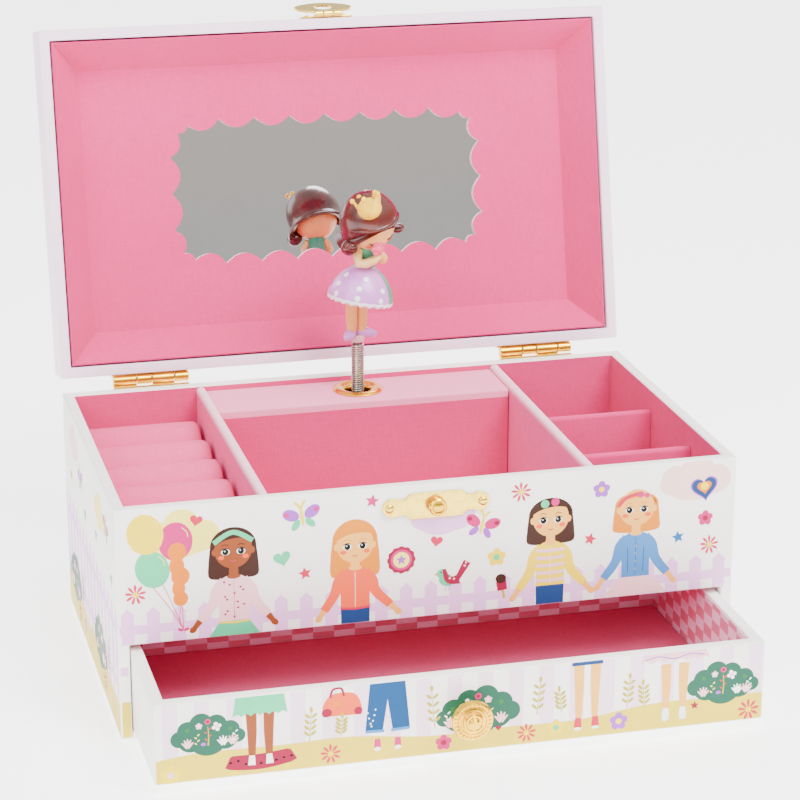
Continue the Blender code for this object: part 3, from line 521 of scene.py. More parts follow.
def build_rolls():
    """Five foam rolls under stretched velour, with a soft crown and pulled-in ends."""
    for i in range(5):
        name = f"ring_roll_{i + 1}"
        low, high = node_box(name)
        middle, half = (low.y + high.y) / 2, (high.y - low.y) / 2 - 0.04
        radius_z = 9.4
        crown_z = high.z - radius_z
        bm = bmesh.new()
        sections, around = 28, 28
        loops = []
        for s in range(sections + 1):
            t = s / sections
            x = low.x + (high.x - low.x) * t
            edge = min(t, 1 - t) * (high.x - low.x)
            pull = 1.0 - 0.10 * math.exp(-edge / 0.9)
            ring = []
            for k in range(around + 1):
                a = math.pi * k / around
                wobble = noise.noise(Vector((x * 0.09, k * 0.35, i * 7.3))) * 0.16
                y = middle + math.cos(a) * half * pull
                z = crown_z + (math.sin(a) ** 0.92) * (radius_z + wobble) * pull
                ring.append(bm.verts.new((x, y, z)))
            ring.append(bm.verts.new((x, middle - half * pull, low.z + 0.05)))
            ring.append(bm.verts.new((x, middle + half * pull, low.z + 0.05)))
            loops.append([bm.edges.new((ring[k - 1], ring[k])) for k in range(len(ring))])
        for a, b in zip(loops, loops[1:]):
            bmesh.ops.bridge_loops(bm, edges=a + b)
        bmesh.ops.holes_fill(bm, edges=bm.edges, sides=around + 3)
        ends = [e for f in bm.faces if len(f.verts) > 8 for e in f.edges]
        bmesh.ops.bevel(bm, geom=ends, offset=0.7, segments=3, profile=0.5, affect="EDGES", material=-1)
        roll = piece(f"roll_pad_{i + 1}", bm, ROLL_PINK, "case", replaces=(name,))


def build_platform():
    """The movement's housing: one board on top, wrapped with its front edge rounded over. Its top takes a
    paler copy of the pink velour as painted light, as if lit from above; the front keeps the plain pink.
    """
    low, high = node_box("housing_top")
    front_low, front_high = node_box("housing_front")
    bm = boxed(low, high)
    lip = [e for e in bm.edges if all(v.co.z > high.z - 0.01 and v.co.y < low.y + 0.01 for v in e.verts)]
    bmesh.ops.bevel(bm, geom=lip, offset=0.55, segments=5, profile=0.5, affect="EDGES", material=-1)
    top = piece("platform_cover", bm, PINK_PAINTED_LIT, "case", replaces=("housing_top",))
    cut(top, turned([(0, 50), (5.3, 50), (5.3, 90), (0, 90)], 48, "Z", (AXIS.x, AXIS.y, 0)))
    face_low, face_high = (front_low.x, low.y + 0.02, front_low.z), (front_high.x, front_high.y, low.z + 0.6)
    face = boxed(face_low, face_high, 0.05, 1)
    piece("platform_face", face, PINK, "case", replaces=("housing_front",))


def build_drawer_shell():
    low, high = node_box("drawer_front")
    back_high = node_box("drawer_back")[1]
    wall = high.y - low.y
    outer_low, outer_high = low.copy(), Vector((high.x, back_high.y, high.z))
    shell = ring_shell(outer_low, outer_high, wall, 0.5)
    drawer = piece("drawer_walls", shell, WHITE_PAPER, "drawer",
                   replaces=("drawer_front", "drawer_back", "drawer_side_left", "drawer_side_right"))
    knob = node_box("drawer_knob")
    cut(drawer, turned([(0, -outer_low.y - 8), (1.9, -outer_low.y - 8), (1.9, -outer_low.y + 6),
                        (0, -outer_low.y + 6)],
                       24, "Y", ((knob[0].x + knob[1].x) / 2, 0, (knob[0].z + knob[1].z) / 2)))
    x0, x1 = outer_low.x + wall, outer_high.x - wall
    y0, y1 = outer_low.y + wall, outer_high.y - wall
    floor_top = node_box("drawer_bottom")[1].z
    bottom, top, thick = floor_top + 0.03, high.z - 1.0, 0.2
    sheets = {
        "drawer_lining_left": ((x0 + 0.02, y0 + 0.02, bottom), (x0 + thick, y1 - 0.02, top)),
        "drawer_lining_right": ((x1 - thick, y0 + 0.02, bottom), (x1 - 0.02, y1 - 0.02, top)),
        "drawer_lining_back": ((x0 + 0.25, y1 - thick, bottom), (x1 - 0.25, y1 - 0.02, top)),
    }
    for name, (a, b) in sheets.items():
        piece(name, boxed(a, b, 0.05, 1), CHECK, "drawer")
    screw = node_box("drawer_knob_screw")
    sheet = boxed((x0 + 0.25, y0 + 0.02, bottom), (x1 - 0.25, y0 + thick, top), 0.05, 1)
    inside = piece("drawer_lining_front", sheet, CHECK, "drawer")
    cut(inside, turned([(0, -y0 - 4), (3.2, -y0 - 4), (3.2, -y0 + 4), (0, -y0 + 4)], 32, "Y",
                       ((screw[0].x + screw[1].x) / 2, 0, (screw[0].z + screw[1].z) / 2)))
    bottom_low, bottom_high = node_box("drawer_bottom")
    board = boxed(bottom_low, bottom_high - Vector((0, 0, 0.35)), 0.05, 1)
    piece("drawer_base", board, WHITE_PAPER, "drawer", replaces=("drawer_bottom",))
    cloth = boxed((bottom_low.x, bottom_low.y, bottom_high.z - 0.33), bottom_high, 0.05, 1)
    piece("drawer_floor", cloth, FLOOR_PINK, "drawer")


def build_lid_shell():
    top_low, top_high = lid_box("lid_top")
    rim_z = lid_box("lid_side_left")[0].z
    low, high = Vector((top_low.x, top_low.y, rim_z)), top_high
    bm = boxed(low, high)
    rim = [f for f in bm.faces if all(abs(v.co.z - rim_z) < 1e-4 for v in f.verts)]
    bmesh.ops.inset_region(bm, faces=rim, thickness=BOARD, use_even_offset=True)
    inner = min((f for f in bm.faces if all(abs(v.co.z - rim_z) < 1e-4 for v in f.verts)),
                key=lambda f: abs(f.calc_center_median().x) + abs(f.calc_center_median().y))
    grown = bmesh.ops.extrude_face_region(bm, geom=[inner])
    bmesh.ops.delete(bm, geom=[inner], context="FACES_ONLY")
    moved = [g for g in grown["geom"] if isinstance(g, bmesh.types.BMVert)]
    bmesh.ops.translate(bm, verts=moved, vec=(0, 0, top_low.z - rim_z))
    bmesh.ops.recalc_face_normals(bm, faces=bm.faces)
    sharp = [e for e in bm.edges if len(e.link_faces) == 2 and e.calc_face_angle() > 0.5]
    bmesh.ops.bevel(bm, geom=sharp, offset=0.5, segments=3, profile=0.5, affect="EDGES", material=-1)
    spread(bm, LID_OPEN)
    piece("lid_shell", bm, LILAC_PAPER, "lid",
          replaces=("lid_side_left", "lid_side_right", "lid_front", "lid_back", "lid_top"))


# ---------------------------------------------------------------- lid lining with its window
def lobe(a, b, depth, steps):
    """Points from a towards b on an arc that bulges towards the middle of the window."""
    a, b = Vector(a), Vector(b)
    chord = b - a
    normal = Vector((-chord.y, chord.x)).normalized()
    if normal.dot((a + b) / 2) > 0:
        normal = -normal
    return [tuple(a + chord * t + normal * depth * 4 * t * (1 - t))
            for t in (i / steps for i in range(steps))]


def window_outline(steps=14):
    pitch, half_h, half_w = 12.0, 24.0, 53.0
    row = [(-3 * pitch + i * pitch, -half_h) for i in range(7)]
    quarter = [(46.6, -22.3), (50.2, -19.9), (half_w, -pitch)]
    half = row + quarter + [(half_w, 0.0)] + [(x, -y) for x, y in reversed(quarter)]
    cusps = half + [(-x, -y) for x, y in half]
    cusps = [p for i, p in enumerate(cusps) if p != cusps[i - 1]]
    outline = []
    for i, a in enumerate(cusps):
        b = cusps[(i + 1) % len(cusps)]
        length = math.dist(a, b)
        outline += lobe(a, b, 0.26 * length, steps if length > 6 else 6)
    return outline


def build_lid_lining():
    low, high = lid_box("lid_lining")
    mirror_low, mirror_high = lid_box("mirror")
    window_y = (mirror_low.y + mirror_high.y) / 2
    thick, z_rim, z_deep = 0.8, low.z, high.z - 0.8
    deep_x, deep_y = CASE_HIGH.x - 13.4, CASE_HIGH.y - 13.4
    rim_x, rim_y = high.x - 0.12, high.y - 0.12
    bm = bmesh.new()
    corners = ((-1, -1), (1, -1), (1, 1), (-1, 1))
    rim = [bm.verts.new((sx * rim_x, sy * rim_y, z_rim)) for sx, sy in corners]
    deep = [bm.verts.new((sx * deep_x, sy * deep_y, z_deep)) for sx, sy in corners]
    for i in range(4):
        j = (i + 1) % 4
        bm.faces.new((rim[i], rim[j], deep[j], deep[i]))
    window = [bm.verts.new((x, y + window_y, z_deep)) for x, y in window_outline()]
    loops = [bm.edges.new((window[i - 1], window[i])) for i in range(len(window))]
    loops += [bm.edges.get((deep[i], deep[(i + 1) % 4])) for i in range(4)]
    bmesh.ops.triangle_fill(bm, use_beauty=True, use_dissolve=False, edges=loops)
    bmesh.ops.recalc_face_normals(bm, faces=bm.faces)
    if next(f for f in bm.faces if abs(f.normal.z) > 0.9).normal.z > 0:
        bmesh.ops.reverse_faces(bm, faces=bm.faces)
    bmesh.ops.solidify(bm, geom=list(bm.faces), thickness=thick)
    for face in bm.faces:
        middle = face.calc_center_median()
        upright = abs(face.normal.z) < 0.2 and z_deep < middle.z < z_deep + thick
        face.material_index = 1 if upright and abs(middle.x) < 60 and abs(middle.y) < 35 else 0
    spread(bm, LID_OPEN)
    piece("lid_lining_tray", bm, PINK, "lid", replaces=("lid_lining",), extra=(CORE,))
    frame["nodes"]["mirror"].data.materials.clear()
    frame["nodes"]["mirror"].data.materials.append(MIRROR)


# ---------------------------------------------------------------- metal fittings
def build_hinges():
    """Rolled barrels and flat leaves; the knuckles of case and lid interlock."""
    knuckles = (("case", 0.0, 0.305), ("lid", 0.315, 0.505), ("case", 0.515, 0.805), ("lid", 0.815, 1.0))
    for side in ("left", "right"):
        low, high = node_box(f"hinge_{side}_pin")
        start, length = low.x, high.x - low.x
        for owner in ("case", "lid"):
            node_name = f"hinge_{side}_{owner}_leaf"
            tubes = []
            for who, t0, t1 in knuckles:
                if who == owner:
                    a, b = start + t0 * length, start + t1 * length
                    wall = [(0.8, a), (1.45, a), (1.7, a + 0.25), (1.7, b - 0.25), (1.45, b), (0.8, b)]
                    tubes.append(turned(wall, 32, "X", (0, LID_PIN.y, LID_PIN.z)))
            leaf_low = (start, CASE_HIGH.y + 0.15, LID_PIN.z - 12.0 if owner == "case" else LID_PIN.z + 1.9)
            leaf_high = (start + length, CASE_HIGH.y + 1.05,
                         LID_PIN.z - 1.9 if owner == "case" else LID_PIN.z + 11.0)
            leaf = boxed(leaf_low, leaf_high, 0.15, 2)
            webs = []
            for who, t0, t1 in knuckles:
                if who == owner:
                    z0, z1 = (-2.6, -0.9) if owner == "case" else (0.9, 2.6)
                    webs.append(boxed((start + t0 * length, CASE_HIGH.y + 0.15, LID_PIN.z + z0),
                                      (start + t1 * length, LID_PIN.y + 0.6, LID_PIN.z + z1), 0.15, 2))
            heads = []
            for share in (0.17, 0.83):
                z = (leaf_low[2] + leaf_high[2]) / 2 - (1.0 if owner == "case" else -1.0)
                dome = [(0, 0.55), (0.7, 0.45), (1.15, 0.1), (1.2, -0.2), (0, -0.2)]
                at = (start + share * length, leaf_high[1] + 0.05, z)
                heads.append(spread(turned(dome, 20),
                                    Matrix.Translation(at) @ Matrix.Rotation(-math.pi / 2, 4, "X")))
            whole = join(leaf, *webs, *tubes, *heads)
            if owner == "lid":
                spread(whole, LID_OPEN)
            piece(f"hinge_{side}_{owner}", whole, GILT, owner, replaces=(node_name,))
        pin = frame["nodes"][f"hinge_{side}_pin"]
        pin.data.materials.clear()
        pin.data.materials.append(STEEL)


def catch_outline(shrink=0.0):
    """Half of the plate's edge: a broad middle, a dipped shoulder and a round end."""
    lobe_r, waist, mid_w, mid_h, half_w = 2.9 - shrink, 2.2 - shrink, 8.6, 4.0 - shrink, 16.4 - shrink
    end = [(half_w - lobe_r + lobe_r * math.sin(a), lobe_r * math.cos(a))
           for a in (math.pi * k / 20 for k in range(21))]
    dip = [(mid_w + 0.2, waist + 1.0), (mid_w + 0.7, waist + 0.45), (mid_w + 1.5, waist + 0.2),
           (mid_w + 2.4, waist + 0.25), (mid_w + 3.2, waist + 0.5)]
    shoulder = [(mid_w - 1.2, mid_h), (mid_w - 0.5, mid_h - 0.15), (mid_w, mid_h - 0.6)]
    right = shoulder + dip + end + [(x, -z) for x, z in reversed(dip)] + [(x, -z) for x,
                                                                          z in reversed(shoulder)]
    return right + [(-x, -z) for x, z in right]


def circle(radius, steps, u=0.0, v=0.0):
    return [(u + radius * math.cos(math.tau * k / steps), v + radius * math.sin(math.tau * k / steps))
            for k in range(steps)]


def build_catch():
    low, high = node_box("catch_plate")
    at = Vector(((low.x + high.x) / 2, high.y, (low.z + high.z) / 2))
    place = Matrix.Translation(at) @ Matrix.Rotation(math.pi / 2, 4, "X")
    nails = [(node_box(n)[0] + node_box(n)[1]) / 2 - at for n in ("catch_nail_left", "catch_nail_right")]
    holes = [circle(0.85, 20, nail.x) for nail in nails] + [circle(1.35, 24)]
    plate = extruded(catch_outline(), 0.0, 0.7, place, holes, bevel=0.16)
    groove = extruded(catch_outline(0.55), 0.7, 0.78, place, [catch_outline(0.8)])
    piece("catch_plate_cover", join(plate, groove), PALE_GILT, "case",
          replaces=("catch_plate",))
    knob_low, knob_high = node_box("catch_knob")
    out = knob_high.y - knob_low.y
    r = (knob_high.x - knob_low.x) / 2
    knob = [(0, 0), (1.1, 0), (1.1, 0.9), (2.0, 0.9), (2.1, 1.15), (1.5, 1.5), (1.5, out - 2.0),
            (r - 0.3, out - 1.9),
            (r, out - 1.5), (r, out - 0.95), (r - 0.35, out - 0.6), (r - 0.75, out - 0.55),
            (r - 0.9, out - 0.65),
            (r - 1.15, out - 0.3), (0.9, out - 0.05), (0, out)]
    piece("catch_knob_turned", turned(knob, 48, "Y", (at.x, knob_high.y, at.z)), GILT, "case",
          replaces=("catch_knob",))
    for name, nail in zip(("catch_nail_left", "catch_nail_right"), nails):
        head = [(0, 0), (0.55, 0), (0.55, 0.8), (1.3, 0.8), (1.35, 1.0), (1.1, 1.3), (0.6, 1.5), (0, 1.55)]
        piece(name + "_domed", turned(head, 28, "Y", (at.x + nail.x, knob_high.y, at.z)), PALE_GILT, "case",
              replaces=(name,))


def build_hasp():
    at = HASP_PIN
    x = at.x
    face_y = CASE_LOW.y
    plate = boxed((x - 8.4, face_y - 0.85, at.z + 1.5), (x + 8.4, face_y - 0.15, at.z + 8.0), 0.2, 2)
    parts = [plate]
    for a, b in ((-4.5, -1.8), (1.8, 4.5)):
        wall = [(0, a), (0.95, a), (1.1, a + 0.15), (1.1, b - 0.15), (0.95, b), (0, b)]
        parts.append(turned(wall, 28, "X", at))
        parts.append(boxed((x + a, at.y, at.z + 0.2), (x + b, face_y - 0.2, at.z + 1.9), 0.1, 1))
    parts.append(turned([(0, -4.4), (0.35, -4.4), (0.35, 4.4), (0, 4.4)], 16, "X", at))
    for nail_x in (-6.2, 6.2):
        dome = [(0, 0.5), (0.6, 0.4), (1.0, 0.1), (1.05, -0.1), (0, -0.1)]
        parts.append(turned(dome, 20, "Y", (x + nail_x, face_y - 0.85, at.z + 5.0)))
    base = spread(join(*parts), LID_OPEN)
    piece("hasp_base_plate", base, PALE_GILT, "lid", replaces=("hasp_base",))
    half_w, half_h, middle, slot_v = 9.6, 6.6, 8.4, 8.25
    outline = []
    for k in range(64):
        a = math.tau * k / 64
        outline.append((half_w * math.copysign(abs(math.cos(a)) ** 1.25, math.cos(a)),
                        -middle + half_h * math.sin(a)))
    opening = [(3.0 * math.cos(a), -slot_v + 3.15 * math.sin(a))
               for a in (math.tau * k / 40 for k in range(40))]
    place = Matrix.Translation(at) @ Matrix.Rotation(math.pi / 2, 4, "X")
    leaf = extruded(outline, -0.35, 0.35, place, [opening], bevel=0.15)
    wall = [(0.45, -1.5), (1.0, -1.5), (1.1, -1.35), (1.1, 1.35), (1.0, 1.5), (0.45, 1.5)]
    tube = turned(wall, 28, "X", at)
    neck = boxed((x - 1.5, at.y - 0.35, at.z - 2.6), (x + 1.5, at.y + 0.35, at.z - 0.6), 0.1, 1)
    piece("hasp_flap_plate", spread(join(leaf, tube, neck), HASP_OPEN), PALE_GILT, "hasp",
          replaces=("hasp_flap",))


def build_drawer_knob():
    low, high = node_box("drawer_knob")
    at = ((low.x + high.x) / 2, high.y + 0.3, (low.z + high.z) / 2)
    out = high.y - low.y
    r = (high.x - low.x) / 2
    profile = [(0, 2.6), (1.5, 2.6), (1.5, 0.3), (3.5, 0.3), (3.6, 0.7), (3.2, 1.1), (2.3, 1.7), (2.2, 2.4),
               (2.7, 3.1),
               (r - 1.3, out - 4.5), (r - 0.3, out - 3.9), (r, out - 3.2), (r - 0.25, out - 2.5),
               (r - 0.9, out - 2.1),
               (r - 1.5, out - 2.2), (r - 1.75, out - 1.75), (r - 2.2, out - 1.6), (r - 2.5, out - 1.95),
               (r - 2.9, out - 2.0), (r - 3.15, out - 1.3), (r - 3.6, out - 1.0), (r - 3.95, out - 1.25),
               (1.75, out - 1.2), (1.6, out - 0.5), (1.0, out - 0.05), (0, out)]
    parts = [turned(profile, 72, "Y", at)]
    beads = 26
    for k in range(beads):
        a = math.tau * k / beads
        centre = (at[0] + (r - 1.05) * math.cos(a), at[1] - (out - 2.25), at[2] + (r - 1.05) * math.sin(a))
        parts.append(ball(centre, (0.52, 0.5, 0.52), 8, 6))
    piece("drawer_knob_turned", join(*parts), GILT, "drawer", replaces=("drawer_knob",))
    screw = frame["nodes"]["drawer_knob_screw"]
    screw.data.materials.clear()
    screw.data.materials.append(STEEL)


def build_collar_and_spring():
    low, high = node_box("spring_collar")
    r = (high.x - low.x) / 2
    seat = node_box("housing_top")[1].z + 0.1
    hole = 4.3
    profile = [(hole, low.z), (hole + 0.6, low.z), (hole + 0.6, seat), (r, seat), (r, seat + 0.25),
               (r - 0.35, seat + 0.6),
               (r - 1.0, seat + 0.92), (r - 1.8, seat + 1.0), (r - 2.4, seat + 0.82),
               (hole + 0.9, seat + 0.35),
               (hole + 0.35, seat + 0.3), (hole + 0.1, seat), (hole, seat - 0.6)]
    piece("collar_ring", turned(profile, 72, "Z", (AXIS.x, AXIS.y, 0)), GILT, "case",
          replaces=("spring_collar",))
    spring_low, spring_high = node_box("dancer_spring")
    wire_r, coil_r, pitch, sides, per_turn = 0.34, 1.76, 0.76, 8, 20
    turns = (spring_high.z - spring_low.z - 2 * wire_r) / pitch
    steps = int(turns * per_turn)
    points = []
    for i in range(steps + 1):
        a = math.tau * i / per_turn
        points.append((AXIS.x + coil_r * math.cos(a), AXIS.y + coil_r * math.sin(a),
                       spring_low.z + wire_r + pitch * i / per_turn))
    coil = piece("dancer_coil_spring", tube_along(points, [wire_r] * len(points), sides), STEEL, None,
                 replaces=("dancer_spring",))
    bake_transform(coil)


def build_key():
    low, high = node_box("winding_key")
    cx, cz = (low.x + high.x) / 2, (low.z + high.z) / 2
    out = high.y
    rod = [(0, -out + 6.0), (1.5, -out + 6.0), (1.5, -low.y), (0, -low.y)]
    arbor = turned(rod, 28, "Y", (cx, 0, cz))
    boss_out = out - 4.5
    boss = [(1.5, -boss_out), (2.3, -boss_out), (2.4, -boss_out + 0.3), (2.4, -boss_out + 6.0),
            (2.0, -boss_out + 6.6),
            (1.5, -boss_out + 6.6)]
    wing_y = CASE_HIGH.y + 10.5
    outline = [(7.2 * math.cos(a) * (1.0 + 0.15 * math.cos(2 * a)), 4.2 * math.sin(a))
               for a in (math.tau * k / 64 for k in range(64))]
    hole = circle(1.3, 20, 4.6)
    other = circle(1.3, 20, -4.6)
    wings = extruded(outline, -0.8, 0.8, Matrix.Translation((cx, wing_y, cz)), [hole, other], bevel=0.3)
    piece("winding_key_wings", join(arbor, turned(boss, 32, "Y", (cx, 0, cz)), wings), STEEL, "key",
          replaces=("winding_key",))


def build_movement():
    for name in ("movement_bedplate", "comb", "governor"):
        frame["nodes"][name].data.materials.clear()
        frame["nodes"][name].data.materials.append(MOVEMENT_STEEL)
    for name in ("spring_barrel", "pinned_cylinder", "train_wheel", "dancer_spindle"):
        frame["nodes"][name].data.materials.clear()
        frame["nodes"][name].data.materials.append(MOVEMENT_BRASS)


# ---------------------------------------------------------------- dancer
FACING = math.radians(16)
SKIN = gloss_paint("dancer_skin", tone(248, 186, 106), tone(240, 168, 90), 0.4, 0.12)
HAIR = gloss_paint("dancer_hair", tone(92, 26, 12), tone(66, 14, 8), 0.26, 0.22)
CROWN = gloss_paint("dancer_crown", tone(250, 206, 0), tone(238, 184, 0), 0.45, 0.1)
LILAC = gloss_paint("dancer_lilac", tone(214, 138, 216), tone(200, 120, 204), 0.32, 0.25)
DOT_WHITE = gloss_paint("dancer_white", tone(250, 246, 250), tone(238, 230, 240), 0.3, 0.4)
TEAL = gloss_paint("dancer_teal", tone(70, 172, 132), tone(52, 150, 114), 0.34, 0.2)
ROSE = gloss_paint("dancer_rose", tone(236, 76, 118), tone(222, 56, 98), 0.34, 0.2)
LASH = gloss_paint("dancer_lash", tone(70, 34, 28), tone(56, 26, 22), 0.3, 0.3)
CHEEK = gloss_paint("dancer_cheek", tone(236, 120, 60), tone(226, 104, 50), 0.4, 0.1)
PEG = gloss_paint("dancer_peg", tone(236, 206, 196), tone(226, 190, 182), 0.4, 0.2)
CREAM = gloss_paint("dancer_cream", tone(250, 212, 138), tone(242, 196, 118), 0.4, 0.12)


def build_dancer():
    stand = Matrix.Translation((AXIS.x, AXIS.y, 0)) @ Matrix.Rotation(FACING, 4, "Z")
    waist = Vector((2.0, -2.2, 113.4))
    sway = Matrix.Translation(waist) @ Matrix.Rotation(math.radians(11), 4, "Y")

    def part(name, bm, material):
        return piece("dancer_" + name, spread(bm, stand), material, "dancer")

    # skirt: a shallow bell that sways to one side, with a fluted hem; z is measured from the waist
    hem_z, flutes = -12.0, 22
    bell = [(0, hem_z + 1.0), (8.6, hem_z + 0.3), (10.2, hem_z), (10.6, hem_z + 0.8), (10.3, hem_z + 2.6),
            (9.5, hem_z + 4.7), (8.3, hem_z + 6.7), (6.6, hem_z + 8.7), (4.6, hem_z + 10.4),
            (3.1, hem_z + 11.4),
            (0, hem_z + 12.0)]
    skirt = part("skirt", spread(turned(bell, 88), sway), LILAC)
    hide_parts("dancer")
    hem = [(9.5, hem_z - 0.35), (10.4, hem_z - 0.45), (10.75, hem_z + 0.1), (10.7, hem_z + 0.8),
           (10.3, hem_z + 0.9), (9.6, hem_z + 0.5)]
    edge = turned(hem, 132)
    for v in edge.verts:
        flute = math.sin(flutes * math.atan2(v.co.y, v.co.x))
        v.co.z += 0.28 * flute * (1 if v.co.z < hem_z + 0.4 else 0.3)
    part("hem", spread(edge, sway), DOT_WHITE)
    outside = bell[3:9]
    flap = bmesh.new()
    ring = [flap.verts.new((r + 0.09, 0, z)) for r, z in outside]
    ring += [flap.verts.new((r - 0.3, 0, z)) for r, z in reversed(outside)]
    seams = [flap.edges.new((ring[i - 1], ring[i])) for i in range(len(ring))]
    flap.faces.new(ring)
    bmesh.ops.spin(flap, geom=list(flap.faces) + seams + ring, cent=(0, 0, 0), axis=(0, 0, 1),
                   angle=math.radians(34), steps=12)
    part("skirt_panel", spread(spread(flap, Matrix.Rotation(math.radians(-58), 4, "Z")), sway), TEAL)
    dots = []
    for z_up, count, phase in ((1.9, 8, 0.2), (5.0, 7, 0.55), (8.1, 6, 0.1)):
        lower = max(i for i, (r, z) in enumerate(bell[:-1]) if i > 2 and z <= hem_z + z_up)
        (r0, z0), (r1, z1) = bell[lower], bell[lower + 1]
        r = r0 + (r1 - r0) * (hem_z + z_up - z0) / (z1 - z0)
        for k in range(count):
            around = math.tau * (k + phase) / count
            if 295 < math.degrees(around) < 345:
                continue
            lean = Matrix.Rotation(around, 4, "Z") @ Matrix.Rotation(-math.atan2(r0 - r1, z1 - z0), 4, "Y")
            centre = (r * math.cos(around), r * math.sin(around), hem_z + z_up)
            dots.append(ball(centre, (0.16, 0.95, 0.95), 16, 10, lean))
    part("skirt_dots", spread(join(*dots), sway), DOT_WHITE)

    bodice = [(0, -0.6), (3.2, -0.6), (3.0, 1.2), (2.75, 2.8), (2.9, 4.6), (2.6, 6.4), (1.6, 7.2), (0, 7.4)]
    lean = Matrix.Translation(waist) @ Matrix.Rotation(math.radians(14), 4, "X")
    part("bodice", spread(turned(bodice, 40), lean @ Matrix.Diagonal((1.0, 0.82, 1.0, 1.0))), TEAL)

    # legs and slippers, turned out
    for side, name in ((-1, "right"), (1, "left")):
        x = side * 1.95 - 0.5
        leg = [(0, 89.6), (1.35, 89.6), (1.5, 91.0), (1.85, 94.0), (1.95, 97.0), (2.0, 103.5), (0, 103.5)]
        part("leg_" + name, turned(leg, 28, "Z", (x, -0.4, 0)), SKIN)
        shoe = ball((0, 0, 0), (1.0, 1.0, 1.0), 32, 20)
        for v in shoe.verts:
            toe, heel = max(0.0, -v.co.y), max(0.0, v.co.y)
            v.co.x *= 1.0 - 0.72 * toe * toe
            v.co.z = v.co.z * (1.0 - 0.62 * toe + 0.2 * heel) if v.co.z > 0 else max(v.co.z, -0.75)
        spread(shoe, Matrix.Diagonal((1.75, 3.6, 1.9, 1.0)))
        turn_out = Matrix.Rotation(math.radians(side * 58), 4, "Z")
        aim = Matrix.Translation((x + side * 0.3, -0.6, 89.7)) @ turn_out
        part("shoe_" + name, spread(shoe, aim @ Matrix.Translation((0, -1.2, 0))), LILAC)
    peg = [(0, 86.4), (1.1, 86.4), (1.9, 86.9), (2.3, 88.0), (2.3, 89.2), (0, 89.2)]
    part("peg", turned(peg, 32), PEG)

    # head: bowed forward and leaning to one side
    head = Matrix.Translation((1.8, -5.2, 128.2)) @ Matrix.Rotation(math.radians(-13), 4, "Y")
    head = head @ Matrix.Rotation(math.radians(20), 4, "X") @ Matrix.Scale(1.04, 4)
    face_low, face_r = -0.9, Vector((7.8, 7.7, 8.3))
    part("head", spread(ball((0, 0, face_low), face_r, 48, 32), head), SKIN)
    part("neck", tube_along([(1.9, -3.6, 118.6), (1.8, -4.2, 120.8), (1.8, -4.8, 122.6)], [1.5, 1.35, 1.5],
                            24), SKIN)

    # bob: a smooth cap that flips out along its lower edge and rises over the face
    cap = [(0, 9.15), (2.6, 8.85), (5.0, 7.85), (7.1, 6.05), (8.55, 3.6), (9.15, 0.7), (9.1, -2.0),
           (8.7, -4.0),
           (9.0, -5.0), (10.1, -6.0), (10.6, -6.7), (10.3, -7.3), (9.0, -7.0), (7.9, -6.0), (7.6, -4.0),
           (7.8, -1.0),
           (7.2, 2.5), (5.0, 5.5), (0, 7.6)]
    bob = turned(cap, 72)
    for v in bob.verts:
        angle = math.atan2(v.co.x, -v.co.y)
        front = max(0.0, math.cos(angle)) ** 1.4
        drop = max(0.0, (3.0 - v.co.z) / 10.3)
        v.co.z += front * drop * 9.2
        squeeze = 1.0 - 0.09 * front * drop
        v.co.x *= squeeze
        v.co.y = v.co.y * squeeze + 0.55
        v.co.z += 0.35
    part("hair_bob", spread(bob, head), HAIR)
    curls = [ball((-8.6, -1.6, -5.6), (2.6, 2.5, 2.5), 28, 18),
             ball((-8.7, -3.4, -4.0), (1.6, 1.5, 1.5), 24, 14),
             ball((7.9, -3.8, -3.7), (2.0, 1.6, 1.4), 28, 18)]
    part("hair_curls", spread(join(*curls), head), HAIR)
    sweep = []
    for k in range(15):
        a = math.radians(-66 + 132 * k / 14)
        sweep.append((9.25 * math.sin(a), -8.35 * math.cos(a) + 0.4, 1.35 + 1.1 * math.cos(a)))
    swell = [0.25 + 0.75 * math.sin(math.pi * k / 14) for k in range(15)]
    part("hair_fringe", spread(tube_along(sweep, swell, 14), head), HAIR)

    # face: closed eyes and cheeks
    def on_face(u, v, lift=0.05):
        """A point on the face, u and v degrees from its middle."""
        a, b = math.radians(u), math.radians(v)
        out = Vector((math.sin(a) * math.cos(b), -math.cos(a) * math.cos(b),
                      math.sin(b))) * (1 + lift / 7.8)
        return Vector((out.x * face_r.x, out.y * face_r.y, out.z * face_r.z + face_low))

    lines = []
    for side in (-1, 1):
        arc = [on_face(side * 24 + 9.5 * math.cos(t), -13 - 4.5 * math.sin(t))
               for t in (math.pi * k / 12 for k in range(13))]
        lines.append(tube_along(arc, [0.09 + 0.16 * math.sin(math.pi * k / 12) for k in range(13)], 8))
        for k in (3, 6, 9):
            t = math.pi * k / 12
            root = on_face(side * 24 + 9.5 * math.cos(t), -13 - 4.5 * math.sin(t))
            tip = on_face(side * 24 + 12.5 * math.cos(t), -13 - 8.5 * math.sin(t), 0.1)
            lines.append(tube_along([root, (root + tip) / 2, tip], [0.12, 0.1, 0.04], 6))
    part("lashes", spread(join(*lines), head), LASH)
    cheeks = []
    for side in (-1, 1):
        spot = on_face(side * 31, -28, 0.0)
        lean = spot.to_track_quat("Z", "Y").to_matrix().to_4x4()
        cheeks.append(ball(spot, (1.5, 1.25, 0.18), 24, 12, lean))
    part("cheeks", spread(join(*cheeks), head), CHEEK)

